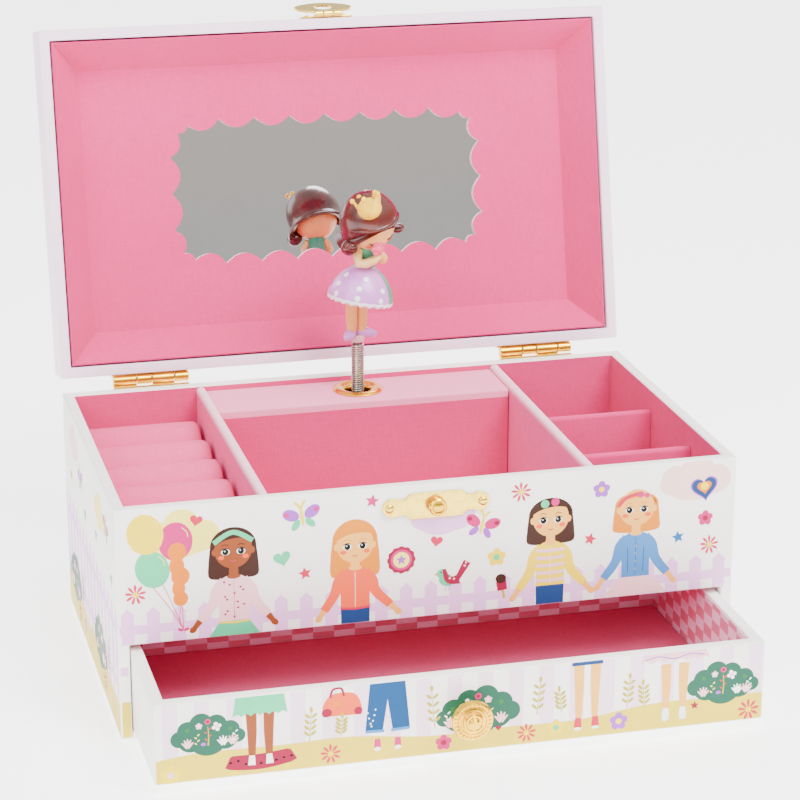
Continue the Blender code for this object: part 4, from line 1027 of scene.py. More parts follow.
    # arms: folded up in front, holding a rosette to the mouth
    thick = [1.2, 1.5, 1.65, 1.55, 1.3, 1.0]
    near = [(-1.0, -3.4, 118.6), (-2.3, -4.4, 116.6), (-2.4, -5.6, 114.8), (-0.7, -7.4, 114.9),
            (1.4, -9.2, 116.3),
            (3.0, -10.0, 117.8)]
    far = [(4.6, -3.8, 118.4), (5.8, -5.0, 116.8), (5.8, -6.6, 115.6), (4.8, -8.2, 115.8),
           (3.6, -9.4, 117.2),
           (2.6, -10.2, 118.8)]
    part("arm_right", tube_along(near, thick, 20), CREAM)
    part("arm_left", tube_along(far, thick, 20), SKIN)
    bloom = Vector((1.5, -10.9, 120.4))
    petals = [ball(bloom, (1.5, 1.4, 1.4), 20, 14)]
    for k in range(6):
        a = math.tau * k / 6
        centre = bloom + Vector((1.5 * math.cos(a), 0.1, 1.5 * math.sin(a)))
        petals.append(ball(centre, (1.0, 0.9, 1.0), 16, 12))
    part("rosette", join(*petals), ROSE)

    # crown: a flared band with five round points around a padded top, upright on the front of the head
    spikes, base_r, flare, steps = 5, 2.9, 1.6, 80
    crown = bmesh.new()
    rings = [[], [], [], []]
    for k in range(steps):
        a = math.tau * k / steps
        rise = 4.6 + 1.6 * abs(math.cos(a * spikes / 2)) ** 1.6
        profile = ((base_r, 0), (base_r + flare, rise), (base_r + flare - 0.8, rise - 0.25),
                   (base_r - 0.8, 0.4))
        for loop, (r, z) in zip(rings, profile):
            loop.append(crown.verts.new((r * math.cos(a), r * math.sin(a), z)))
    rings = [[crown.edges.new((loop[k - 1], loop[k])) for k in range(steps)] for loop in rings]
    for a, b in zip(rings, rings[1:] + rings[:1]):
        bmesh.ops.bridge_loops(crown, edges=a + b)
    tip_r = base_r + flare - 0.2
    beads = [ball((tip_r * math.cos(a), tip_r * math.sin(a), 6.1), (0.8, 0.8, 0.8), 14, 10)
             for a in (math.tau * k / spikes for k in range(spikes))]
    pad = ball((0, 0, 2.2), (base_r + 0.9, base_r + 0.9, 3.4), 40, 24)
    seat = head @ Matrix.Translation((-2.2, -4.8, 6.2)) @ Matrix.Rotation(math.radians(-34), 4, "X")
    turn = Matrix.Rotation(math.radians(20), 4, "Z")
    part("crown", spread(join(crown, pad, *beads), seat @ turn), CROWN)


# ---------------------------------------------------------------- printed motifs
INKS = {
    "yellow": (250, 226, 0), "orange": (236, 148, 0), "rose": (216, 54, 142), "coral": (218, 54, 100),
    "mint": (100, 212, 165), "lilac": (184, 108, 214), "fence": (242, 200, 240), "denim": (52, 92, 142),
    "sky": (98, 156, 208), "teal": (58, 120, 100), "magenta": (172, 0, 84), "brown": (84, 48, 30),
    "skin": (248, 196, 112), "tan": (164, 98, 54), "peach": (242, 120, 80), "cream": (254, 240, 136),
    "ochre": (236, 216, 84), "white": (254, 253, 251), "dark": (36, 20, 28), "blush": (250, 206, 213),
    "stripe": (250, 228, 242), "cloud": (252, 220, 214), "sand": (200, 186, 60),
    "ginger": (232, 156, 0), "aqua": (16, 132, 186), "leaf": (76, 138, 80), "jeans": (16, 100, 148),
}
INK_FINISH = {}
SHEETS = {}
STAMPED = {}
INK_DEPTH = 1.35         # how much deeper the inks print than their plain tones
PRINT_EDGE = 0.35        # unprinted margin around each face
PRINT_STEP = 0.016      # height of one layer of print over the one below
PRINT_SKIN = 0.008      # thickness of a printed shape


def ink(name):
    if name not in INK_FINISH:
        deep = tuple(c ** INK_DEPTH for c in tone(*INKS[name])[:3]) + (1.0,)
        INK_FINISH[name] = paper("ink_" + name, deep, 0.4, 0.94)
    return INK_FINISH[name]


def panel_matrix(corner, across, up):
    across, up = Vector(across), Vector(up)
    matrix = Matrix((across, up, across.cross(up))).transposed().to_4x4()
    return Matrix.Translation(corner) @ matrix


DRAWER_LOW, DRAWER_HIGH = node_box("drawer_front")
LID_TOP = lid_box("lid_top")[1].z
CENTRE_Y = (CASE_LOW.y + CASE_HIGH.y) / 2
HALF_DEPTH = (CASE_HIGH.y - CASE_LOW.y) / 2


def panel(body, matrix, reach, low, high):
    """A printed face: its body, its frame and the edges that its print keeps inside."""
    edge = PRINT_EDGE
    return body, matrix, (-reach + edge, low + edge, reach - edge, high - edge)


PANELS = {
    "front": panel("case", panel_matrix((0, CASE_LOW.y, 0), (1, 0, 0), (0, 0, 1)),
                   CASE_HIGH.x, CASE_LOW.z, CASE_HIGH.z),
    "drawer": panel("drawer", panel_matrix((0, DRAWER_LOW.y, 0), (1, 0, 0), (0, 0, 1)),
                    DRAWER_HIGH.x, DRAWER_LOW.z, DRAWER_HIGH.z),
    "left": panel("case", panel_matrix((CASE_LOW.x, CENTRE_Y, 0), (0, -1, 0), (0, 0, 1)),
                  HALF_DEPTH, CASE_LOW.z, CASE_HIGH.z),
    "right": panel("case", panel_matrix((CASE_HIGH.x, CENTRE_Y, 0), (0, 1, 0), (0, 0, 1)),
                   HALF_DEPTH, CASE_LOW.z, CASE_HIGH.z),
    "back": panel("case", panel_matrix((0, CASE_HIGH.y, 0), (-1, 0, 0), (0, 0, 1)),
                  CASE_HIGH.x, CASE_LOW.z, CASE_HIGH.z),
    "lid": panel("lid", LID_OPEN @ panel_matrix((0, CENTRE_Y, LID_TOP), (1, 0, 0), (0, 1, 0)),
                 CASE_HIGH.x, -HALF_DEPTH, HALF_DEPTH),
}


def clipped(outline, limits):
    """The outline pressed inside a panel's edges, without doubled points."""
    u0, v0, u1, v1 = limits
    inside = [(min(max(u, u0), u1), min(max(v, v0), v1)) for u, v in outline]
    return [point for k, point in enumerate(inside) if point != inside[k - 1]]


def stamp(panel, colour, layer, *outlines):
    """Lay flat shapes on a panel in one ink."""
    if (panel, colour) not in SHEETS:
        SHEETS[panel, colour] = bmesh.new()
    bm, limits = SHEETS[panel, colour], PANELS[panel][2]
    for outline in outlines:
        turn = STAMPED[panel, layer] = STAMPED.get((panel, layer), -1) + 1
        height = 0.02 + layer * PRINT_STEP + (turn % 24) * PRINT_STEP / 24
        points = [bm.verts.new((u, v, height - PRINT_SKIN)) for u, v in clipped(outline, limits)]
        face = bm.faces.new(points)
        grown = bmesh.ops.extrude_face_region(bm, geom=[face], use_keep_orig=True)
        lifted = [g for g in grown["geom"] if isinstance(g, bmesh.types.BMVert)]
        bmesh.ops.translate(bm, verts=lifted, vec=(0, 0, PRINT_SKIN))


def finish_prints():
    for (panel, colour), bm in sorted(SHEETS.items(), key=lambda item: item[0]):
        body, matrix = PANELS[panel][:2]
        bmesh.ops.recalc_face_normals(bm, faces=bm.faces)
        spread(bm, matrix)
        piece(f"print_{panel}_{colour}", bm, ink(colour), body, smooth=False)


def oval(u, v, ru, rv=None, turn=0.0, steps=28):
    rv = ru if rv is None else rv
    c, s = math.cos(math.radians(turn)), math.sin(math.radians(turn))
    points = [(ru * math.cos(math.tau * k / steps), rv * math.sin(math.tau * k / steps))
              for k in range(steps)]
    return [(u + c * x - s * y, v + s * x + c * y) for x, y in points]


def star(u, v, r, points=5, inner=0.46, turn=90.0):
    out = []
    for k in range(points * 2):
        a = math.radians(turn) + math.pi * k / points
        d = r if k % 2 == 0 else r * inner
        out.append((u + d * math.cos(a), v + d * math.sin(a)))
    return out


def heart(u, v, r, turn=0.0):
    c, s = math.cos(math.radians(turn)), math.sin(math.radians(turn))
    out = []
    for k in range(36):
        t = math.tau * (k + 0.5) / 36
        x = 16 * math.sin(t) ** 3 * r / 16
        y = (13 * math.cos(t) - 5 * math.cos(2 * t) - 2 * math.cos(3 * t) - math.cos(4 * t)) * r / 16
        out.append((u + c * x - s * y, v + s * x + c * y))
    return out


def lobed(u, v, r, lobes, depth=0.22, steps=60):
    out = []
    for k in range(steps):
        a = math.tau * k / steps
        d = r * (1 - depth + depth * abs(math.cos(a * lobes / 2)) ** 0.6)
        out.append((u + d * math.cos(a), v + d * math.sin(a)))
    return out


def stroke(points, widths):
    """The outline of a line with its own half width at each point."""
    left, right = [], []
    for i, (u, v) in enumerate(points):
        a, b = points[max(i - 1, 0)], points[min(i + 1, len(points) - 1)]
        along = Vector((b[0] - a[0], b[1] - a[1])).normalized()
        side = Vector((-along.y, along.x)) * widths[i]
        left.append((u + side.x, v + side.y))
        right.append((u - side.x, v - side.y))
    return left + right[::-1]


def curve(points, steps=10):
    """A smooth line through points."""
    out = []
    for i in range(len(points) - 1):
        p0, p1 = Vector(points[max(i - 1, 0)]), Vector(points[i])
        p2, p3 = Vector(points[i + 1]), Vector(points[min(i + 2, len(points) - 1)])
        for k in range(steps):
            t = k / steps
            q = 0.5 * (2 * p1 + (p2 - p0) * t + (2 * p0 - 5 * p1 + 4 * p2 - p3) * t * t
                       + (3 * p1 - p0 - 3 * p2 + p3) * t ** 3)
            out.append((q.x, q.y))
    out.append(tuple(points[-1]))
    return out


def line(panel, colour, layer, points, half=0.2, ends=None):
    route = curve(points)
    last = len(route) - 1
    tip = half if ends is None else ends
    stamp(panel, colour, layer, stroke(route, [half + (tip - half) * k / last for k in range(last + 1)]))


def flower(panel, u, v, r, colour, heart_colour="yellow", petals=5):
    stamp(panel, colour, 3, *[oval(u + 0.62 * r * math.cos(a), v + 0.62 * r * math.sin(a), 0.42 * r)
                              for a in (math.tau * k / petals + 0.3 for k in range(petals))])
    stamp(panel, heart_colour, 4, oval(u, v, 0.34 * r))


def daisy(panel, u, v, r, colour="coral", petals=9):
    stamp(panel, colour, 3, *[stroke([(u + 0.25 * r * math.cos(a), v + 0.25 * r * math.sin(a)),
                                      (u + 0.7 * r * math.cos(a), v + 0.7 * r * math.sin(a)),
                                      (u + r * math.cos(a), v + r * math.sin(a))],
                                      [0.05 * r, 0.14 * r, 0.07 * r])
                              for a in (math.tau * k / petals + 0.2 for k in range(petals))])
    stamp(panel, "yellow", 4, oval(u, v, 0.27 * r))


def butterfly(panel, u, v, r, wing, tail, turn=0.0):
    def at(x, y):
        c, s = math.cos(math.radians(turn)), math.sin(math.radians(turn))
        return u + r * (c * x - s * y), v + r * (s * x + c * y)
    for side in (-1, 1):
        stamp(panel, wing, 3, oval(*at(side * 0.62, 0.22), 0.5 * r, 0.34 * r, turn + side * 28))
        stamp(panel, tail, 3, oval(*at(side * 0.42, -0.42), 0.36 * r, 0.2 * r, turn - side * 50))
        stamp(panel, "rose" if wing != "rose" else "magenta", 4,
              oval(*at(side * 0.86, 0.3), 0.15 * r, 0.13 * r))
        line(panel, "yellow", 5, [at(0, 0.4), at(side * 0.1, 0.7), at(side * 0.3, 0.95)], 0.05 * r,
             0.08 * r)
    stamp(panel, "yellow", 5, oval(u, v, 0.1 * r, 0.55 * r, turn))


def sprig(panel, u, v, height, colour="sand", lean=0.0):
    line(panel, colour, 3, [(u, v), (u + lean * 0.5, v + height * 0.5), (u + lean, v + height)], 0.14, 0.08)
    for k in range(4):
        t = 0.2 + 0.2 * k
        for side in (-1, 1):
            stamp(panel, colour, 4,
                  oval(u + lean * t + side * 1.0, v + height * t + 0.5, 1.0, 0.42, side * 42))
    stamp(panel, colour, 4, oval(u + lean, v + height + 0.6, 0.45, 0.9))


def cloud(panel, u, v, w, colour, layer=0):
    stamp(panel, colour, layer, oval(u, v, w * 0.5, w * 0.2), oval(u - w * 0.28, v + w * 0.06, w * 0.2),
          oval(u + w * 0.02, v + w * 0.16, w * 0.24), oval(u + w * 0.3, v + w * 0.05, w * 0.19),
          oval(u - w * 0.05, v - w * 0.08, w * 0.3, w * 0.16))


def fence(panel, left, right, bottom, rail, top, pitch=7.6):
    """Pickets with pointed tops on one rail; it stops at the panel's lower edge."""
    count = int((right - left) / pitch)
    stamp(panel, "fence", -0.6,
          [(left, rail - 1.4), (right, rail - 1.4), (right, rail + 1.4), (left, rail + 1.4)])
    for k in range(count + 1):
        u = left + 2.4 + k * pitch
        if u + 1.9 < right:
            stamp(panel, "fence", 0,
                  [(u - 1.9, bottom), (u + 1.9, bottom), (u + 1.9, top - 2.6), (u + 2.1, top - 2.0),
                                      (u + 1.2, top - 1.2), (u, top), (u - 1.2, top - 1.2),
                                      (u - 2.1, top - 2.0),
                                      (u - 1.9, top - 2.6)])


def balloon(panel, u, v, r, colour, lean, knot):
    stamp(panel, colour, 2, oval(u, v, r * 0.92, r * 1.08, lean))
    stamp(panel, "cream", 3, stroke(curve([(u + r * 0.35, v + r * 0.75), (u + r * 0.6, v + r * 0.5),
                                           (u + r * 0.66, v + r * 0.2)], 5), [0.12] * 11))
    line(panel, "coral", 1, [(u, v - r), ((u + knot[0]) / 2 + 0.5, (v - r + knot[1]) / 2), knot], 0.11)


def bush(panel, u, v, w, mirror=1):
    """A round shrub with blossom and leaves along its foot."""
    lobes = ((-0.42, 0.12, 0.13), (-0.3, 0.24, 0.15), (-0.1, 0.33, 0.17), (0.12, 0.3, 0.16),
             (0.32, 0.2, 0.15), (0.44, 0.1, 0.11), (0, 0.12, 0.3), (-0.25, 0.1, 0.2), (0.25, 0.1, 0.2))
    stamp(panel, "teal", 2, *[oval(u + mirror * a * w, v + b * w, c * w) for a, b, c in lobes])
    stamp(panel, "leaf", 3, oval(u - mirror * 0.3 * w, v + 0.25 * w, 0.03 * w),
          oval(u + mirror * 0.33 * w, v + 0.22 * w, 0.03 * w))
    flower(panel, u + mirror * 0.13 * w, v + 0.27 * w, 0.07 * w, "white", "blush", 4)
    flower(panel, u - mirror * 0.13 * w, v + 0.3 * w, 0.05 * w, "blush", "white")
    stamp(panel, "rose", 4, oval(u, v + 0.36 * w, 0.045 * w))
    stamp(panel, "magenta", 5, oval(u, v + 0.36 * w, 0.022 * w))
    line(panel, "sand", 3, [(u, v - 0.02 * w), (u + 0.01 * w, v + 0.14 * w), (u, v + 0.28 * w)], 0.22, 0.1)
    for k in range(4):
        side = 1 if k % 2 else -1
        stamp(panel, "coral", 4,
              oval(u + side * 0.03 * w, v + (0.08 + 0.055 * k) * w, 0.022 * w, 0.012 * w, side * 30))
    for spot, colour in ((-0.3, "blush"), (0.22, "white"), (0.36, "blush")):
        stamp(panel, colour, 5, *[stroke([(u + mirror * spot * w, v - 0.02 * w),
                                          (u + mirror * spot * w + 0.1 * w * math.cos(a),
                                           v + 0.12 * w * math.sin(a))],
                                         [0.028 * w, 0.008 * w])
                                  for a in (math.radians(d) for d in (30, 60, 90, 120, 150))])
    for k in range(4):
        side = 1 if k % 2 else -1
        stamp(panel, "white", 5, oval(u + mirror * 0.4 * w + side * 0.02 * w, v + (0.04 + 0.045 * k) * w,
                                      0.025 * w, 0.011 * w, side * 40))
        stamp(panel, "cream", 5, oval(u - mirror * 0.16 * w + side * 0.02 * w, v + (0.03 + 0.045 * k) * w,
                                      0.022 * w, 0.01 * w, side * 40))
    stamp(panel, "lilac", 5, oval(u - mirror * 0.07 * w, v + 0.01 * w, 0.04 * w, 0.028 * w))


def child(u, top, chin, shoulder, waist, hands, hair, skin, coat, lower, long_hair, seam="white"):
    """A plain paper-doll child, drawn from the head to the panel's lower edge."""
    panel = "front"
    face_v = chin + 6.0
    stamp(panel, hair, 1, oval(u, face_v + 0.9, 6.9, top - face_v - 0.9))
    tips = chin - 1.0 - 1.6 * long_hair
    left_lock = curve([(u - 6.8, face_v + 1.2), (u - 7.4, chin + 2.0), (u - 7.2, tips + 0.8),
                       (u - 3.2, tips)], 6)
    stamp(panel, hair, 1, left_lock + [(2 * u - a, b) for a, b in reversed(left_lock)])
    stamp(panel, skin, 2, stroke([(u, shoulder - 1.2), (u, chin + 1.5)], [1.5, 1.3]))
    stamp(panel, skin, 3, oval(u, face_v, 5.6, 5.9))
    stamp(panel, skin, 3, oval(u - 5.6, face_v - 0.6, 0.8, 1.1), oval(u + 5.6, face_v - 0.6, 0.8, 1.1))
    cap = [(u + 6.2 * math.cos(a), face_v + 0.8 + (top - face_v - 1.2) * math.sin(a))
           for a in (math.pi * k / 20 for k in range(21))]
    fringe = [(u + 6.2 * math.cos(a), face_v + 0.8 + 2.6 * math.sin(a) + 0.7 * math.cos(a))
              for a in (math.pi * k / 20 for k in range(20, -1, -1))]
    stamp(panel, hair, 4, cap + fringe)
    for side in (-1, 1):
        stamp(panel, "white", 4, oval(u + side * 2.3, face_v - 0.7, 1.3, 1.0))
        stamp(panel, "dark", 5, oval(u + side * 2.3, face_v - 0.7, 0.92, 0.95))
        stamp(panel, "white", 6, oval(u + side * 2.3 - 0.22, face_v - 0.42, 0.2))
        line(panel, "dark", 5, [(u + side * 1.2, face_v + 0.05), (u + side * 2.3, face_v + 0.4),
                                (u + side * 3.5, face_v - 0.1)], 0.09, 0.16)
        line(panel, hair, 5, [(u + side * 1.4, face_v + 1.25), (u + side * 2.4, face_v + 1.6),
                              (u + side * 3.5, face_v + 1.2)], 0.12, 0.08)
        stamp(panel, "peach", 4, oval(u + side * 3.6, face_v - 2.4, 0.95, 0.65))
    line(panel, "coral", 5, [(u - 0.8, face_v - 3.5), (u, face_v - 3.8), (u + 0.8, face_v - 3.5)], 0.15,
         0.15)
    for hand in hands:
        side = 1 if hand[0] > u else -1
        elbow = (u + side * 6.4, (shoulder + hand[1]) / 2 - 0.2)
        sleeve = curve([(u + side * 2.6, shoulder - 0.9), (u + side * 5.0, shoulder - 3.4), elbow,
                        (elbow[0] * 0.35 + hand[0] * 0.65, elbow[1] * 0.35 + hand[1] * 0.65)])
        stamp(panel, coat, 3,
              stroke(sleeve, [1.9 - 0.6 * k / (len(sleeve) - 1) for k in range(len(sleeve))]))
        cuff = sleeve[-1]
        stamp(panel, skin, 2, stroke([cuff, hand], [0.95, 0.7]))
        stamp(panel, skin, 2, oval(hand[0], hand[1], 1.25, 0.95, side * -40))
    stamp(panel, coat, 4, curve([(u - 2.2, shoulder + 0.9), (u - 4.8, shoulder - 1.6), (u - 4.4, waist + 4),
                                 (u - 4.5, waist)], 5)
          + curve([(u + 4.5, waist), (u + 4.4, waist + 4), (u + 4.8, shoulder - 1.6),
                   (u + 2.2, shoulder + 0.9)], 5))
    stamp(panel, skin, 5, oval(u, shoulder + 0.7, 2.0, 0.8))
    bottom = OPENING_TOP + 0.3
    stamp(panel, lower, 3,
          [(u - 4.3, bottom), (u + 4.3, bottom), (u + 4.4, waist + 0.2), (u - 4.4, waist + 0.2)])
    line(panel, seam, 5, [(u, waist + 0.6), (u, (shoulder + waist) / 2), (u, shoulder - 0.6)], 0.07)


def skirt_print(panel, u, low, high, w_low, w_high, colour, ruffle):
    edge = [(u - w_low + 2 * w_low * k / 24, low + ruffle * abs(math.sin(math.pi * k / 4)))
            for k in range(25)]
    stamp(panel, colour, 4, edge + [(u + w_high, high), (u - w_high, high)])


def build_front_print():
    low_edge = OPENING_TOP + 0.25
    fence("front", -94.4, 94.4, low_edge, 34.8, 41.6)
    fence("front", -94.5, -92.2, 12.4, 22.0, 29.0)
    cloud("front", -76.0, 61.5, 24.0, "cream")
    cloud("front", 82.0, 65.0, 23.0, "cloud")
    cloud("front", 3.0, 60.6, 20.0, "fence")
    knot = (-75.6, 33.6)
    balloon("front", -84.3, 53.2, 5.4, "mint", 20, knot)
    balloon("front", -77.3, 61.3, 5.5, "rose", 0, knot)
    balloon("front", -86.1, 64.2, 5.8, "yellow", 12, knot)
    stamp("front", "orange", 4, oval(-76.9, 58.0, 2.7, 2.9), oval(-77.1, 53.6, 2.2, 3.0),
          oval(-76.1, 50.4, 2.7, 2.9),
          oval(-76.7, 46.6, 1.9, 2.6), oval(-76.2, 43.4, 2.2, 2.3))
    line("front", "coral", 1, [(-76.2, 41.2), (-76.6, 37.0), knot], 0.11)
    for side in (-1, 1):
        stamp("front", "rose", 4, oval(knot[0] + side * 0.9, knot[1], 0.9, 0.45, side * 20))
    heart_spots = ((-71.1, 67.3, 1.9, "coral", -14), (-45.9, 53.0, 2.6, "mint", 12),
                   (0.9, 54.0, 1.9, "coral", -10))
    for u, v, r, colour, turn in heart_spots:
        stamp("front", colour, 3, heart(u, v, r, turn))
    for u, v, r, colour, turn in ((-18.7, 68.4, 2.2, "rose", 80), (-39.1, 47.6, 2.1, "coral", 100),
                                  (48.8, 50.0, 2.1, "coral", 75), (76.9, 48.0, 2.1, "aqua", 100)):
        stamp("front", colour, 3, star(u, v, r, turn=turn))
    for u, v, r in ((-89.4, 45.9, 3.1), (26.9, 67.1, 3.1), (87.1, 44.6, 3.0)):
        daisy("front", u, v, r)
    flower("front", 52.1, 65.6, 2.6, "lilac")
    flower("front", 19.5, 47.0, 2.8, "yellow", "mint")
    flower("front", 85.5, 53.4, 2.4, "rose", "magenta")
    butterfly("front", -39.8, 65.4, 5.2, "lilac", "mint", 8)
    butterfly("front", 14.9, 57.6, 5.0, "rose", "lilac", -14)
    # a round rosette, a bird, an ice lolly and a framed heart
    stamp("front", "magenta", 3, lobed(-9.9, 49.0, 4.4, 12, 0.14))
    stamp("front", "rose", 4, oval(-9.9, 49.0, 3.3))
    stamp("front", "cream", 5, oval(-9.9, 49.0, 2.5))
    stamp("front", "lilac", 6, star(-9.9, 49.0, 1.7))
    stamp("front", "mint", 3, oval(4.0, 41.2, 2.4, 1.9, -20), oval(2.6, 43.4, 1.6, 1.5))
    stamp("front", "magenta", 4,
          stroke(curve([(3.2, 44.8), (4.6, 41.2), (8.0, 41.2)], 6), [0.5 + 0.09 * k for k in range(13)]))
    stamp("front", "magenta", 4, stroke([(7.4, 41.4), (10.4, 46.6)], [0.8, 1.2]))
    stamp("front", "blush", 5, oval(5.0, 41.7, 0.35), oval(6.3, 41.4, 0.35), oval(9.6, 45.3, 0.35),
          oval(10.0, 46.3, 0.35))
    stamp("front", "dark", 5, oval(2.3, 43.8, 0.24))
    stamp("front", "orange", 4, [(1.2, 43.9), (0.2, 43.3), (1.3, 43.0)])
    for leg_u in (4.0, 5.0):
        line("front", "dark", 2, [(leg_u, 39.6), (leg_u - 0.2, 38.6), (leg_u - 0.6, 37.8)], 0.08)
    stamp("front", "magenta", 3, stroke([(21.4, 36.2), (21.0, 39.2)], [1.5, 1.6]))
    stamp("front", "brown", 4, oval(20.9, 40.0, 1.65, 1.5))
    stamp("front", "sand", 2, stroke([(22.0, 33.6), (21.5, 36.4)], [0.4, 0.4]))
    stamp("front", "lilac", 3, heart(84.9, 63.3, 4.4, 8))
    stamp("front", "denim", 4, heart(84.9, 63.3, 3.9, 8))
    stamp("front", "orange", 5, heart(84.9, 63.5, 2.3, 8))
    stamp("front", "yellow", 6, oval(84.9, 63.8, 1.3))

    child(-60.4, 64.2, 51.3, 48.2, 34.6, ((-72.7, 33.2), (-48.4, 33.3)), "brown", "tan", "blush", "mint",
          1.4, "rose")
    stamp("front", "magenta", 6,
          *[oval(-60.4 + 2.9 * math.sin(5.1 * k), 36.2 + 0.92 * k, 0.36, 0.3) for k in range(13)])
    skirt_print("front", -60.4, low_edge, 34.9, 7.6, 4.4, "mint", 0.0)
    stamp("front", "yellow", 5, stroke([(-64.9, 34.7), (-60.4, 34.3), (-55.9, 34.7)], [0.3, 0.3, 0.3]))
    stamp("front", "mint", 5, stroke(curve([(-66.2, 59.6), (-60.4, 62.6), (-54.6, 59.6)], 8), [0.75] * 17))
    child(-24.0, 63.2, 49.4, 47.2, 34.9, ((-35.1, 32.6), (-10.9, 32.8)), "ginger", "skin", "peach",
          "denim", 2.2)
    stamp("front", "coral", 6, stroke([(-28.4, 35.3), (-24.0, 34.9), (-19.6, 35.3)], [0.35] * 3))
    child(36.3, 64.4, 52.0, 49.4, 36.4, ((24.7, 33.2), (49.3, 33.5)), "brown", "skin", "yellow",
          "denim", 0.9)
    for k in range(5):
        v = 38.2 + 2.4 * k
        stamp("front", "blush", 5,
              stroke([(31.9 - 0.03 * k, v), (36.3, v - 0.3), (40.7 + 0.03 * k, v)], [0.5] * 3))
    stamp("front", "mint", 6, oval(34.4, 62.6, 1.3))
    stamp("front", "rose", 6, oval(37.6, 63.0, 1.3))
    child(63.4, 63.8, 52.8, 49.9, 36.5, ((51.3, 34.0), (75.6, 34.3)), "ginger", "skin", "sky", "blush", 0.6,
          "denim")
    skirt_print("front", 63.4, low_edge, 36.9, 10.6, 4.4, "blush", 0.7)
    stamp("front", "coral", 6, stroke(curve([(57.6, 59.6), (60.0, 62.2), (64.4, 63.4)], 6), [0.55] * 13))
    stamp("front", "rose", 7, oval(64.6, 62.9, 1.0), oval(66.6, 62.5, 0.8))
    for side in (-1, 1):
        stamp("front", "denim", 6,
              stroke([(63.4 + side * 2.6, 46.2), (63.4 + side * 2.4, 38.0)], [0.08, 0.08]))
    stamp("front", "sand", 6, *[oval(63.4, 39.0 + 2.5 * k, 0.25) for k in range(4)])


def legs_print(u, top, bottom, skin, spread_by=2.6, wide=1.6, narrow=0.95):
    for side in (-1, 1):
        stamp("drawer", skin, 3,
              stroke([(u + side * spread_by, top), (u + side * (spread_by - 0.2), (top + bottom) / 2),
                                         (u + side * (spread_by - 0.1), bottom)],
                                         [wide, wide * 0.85, narrow]))


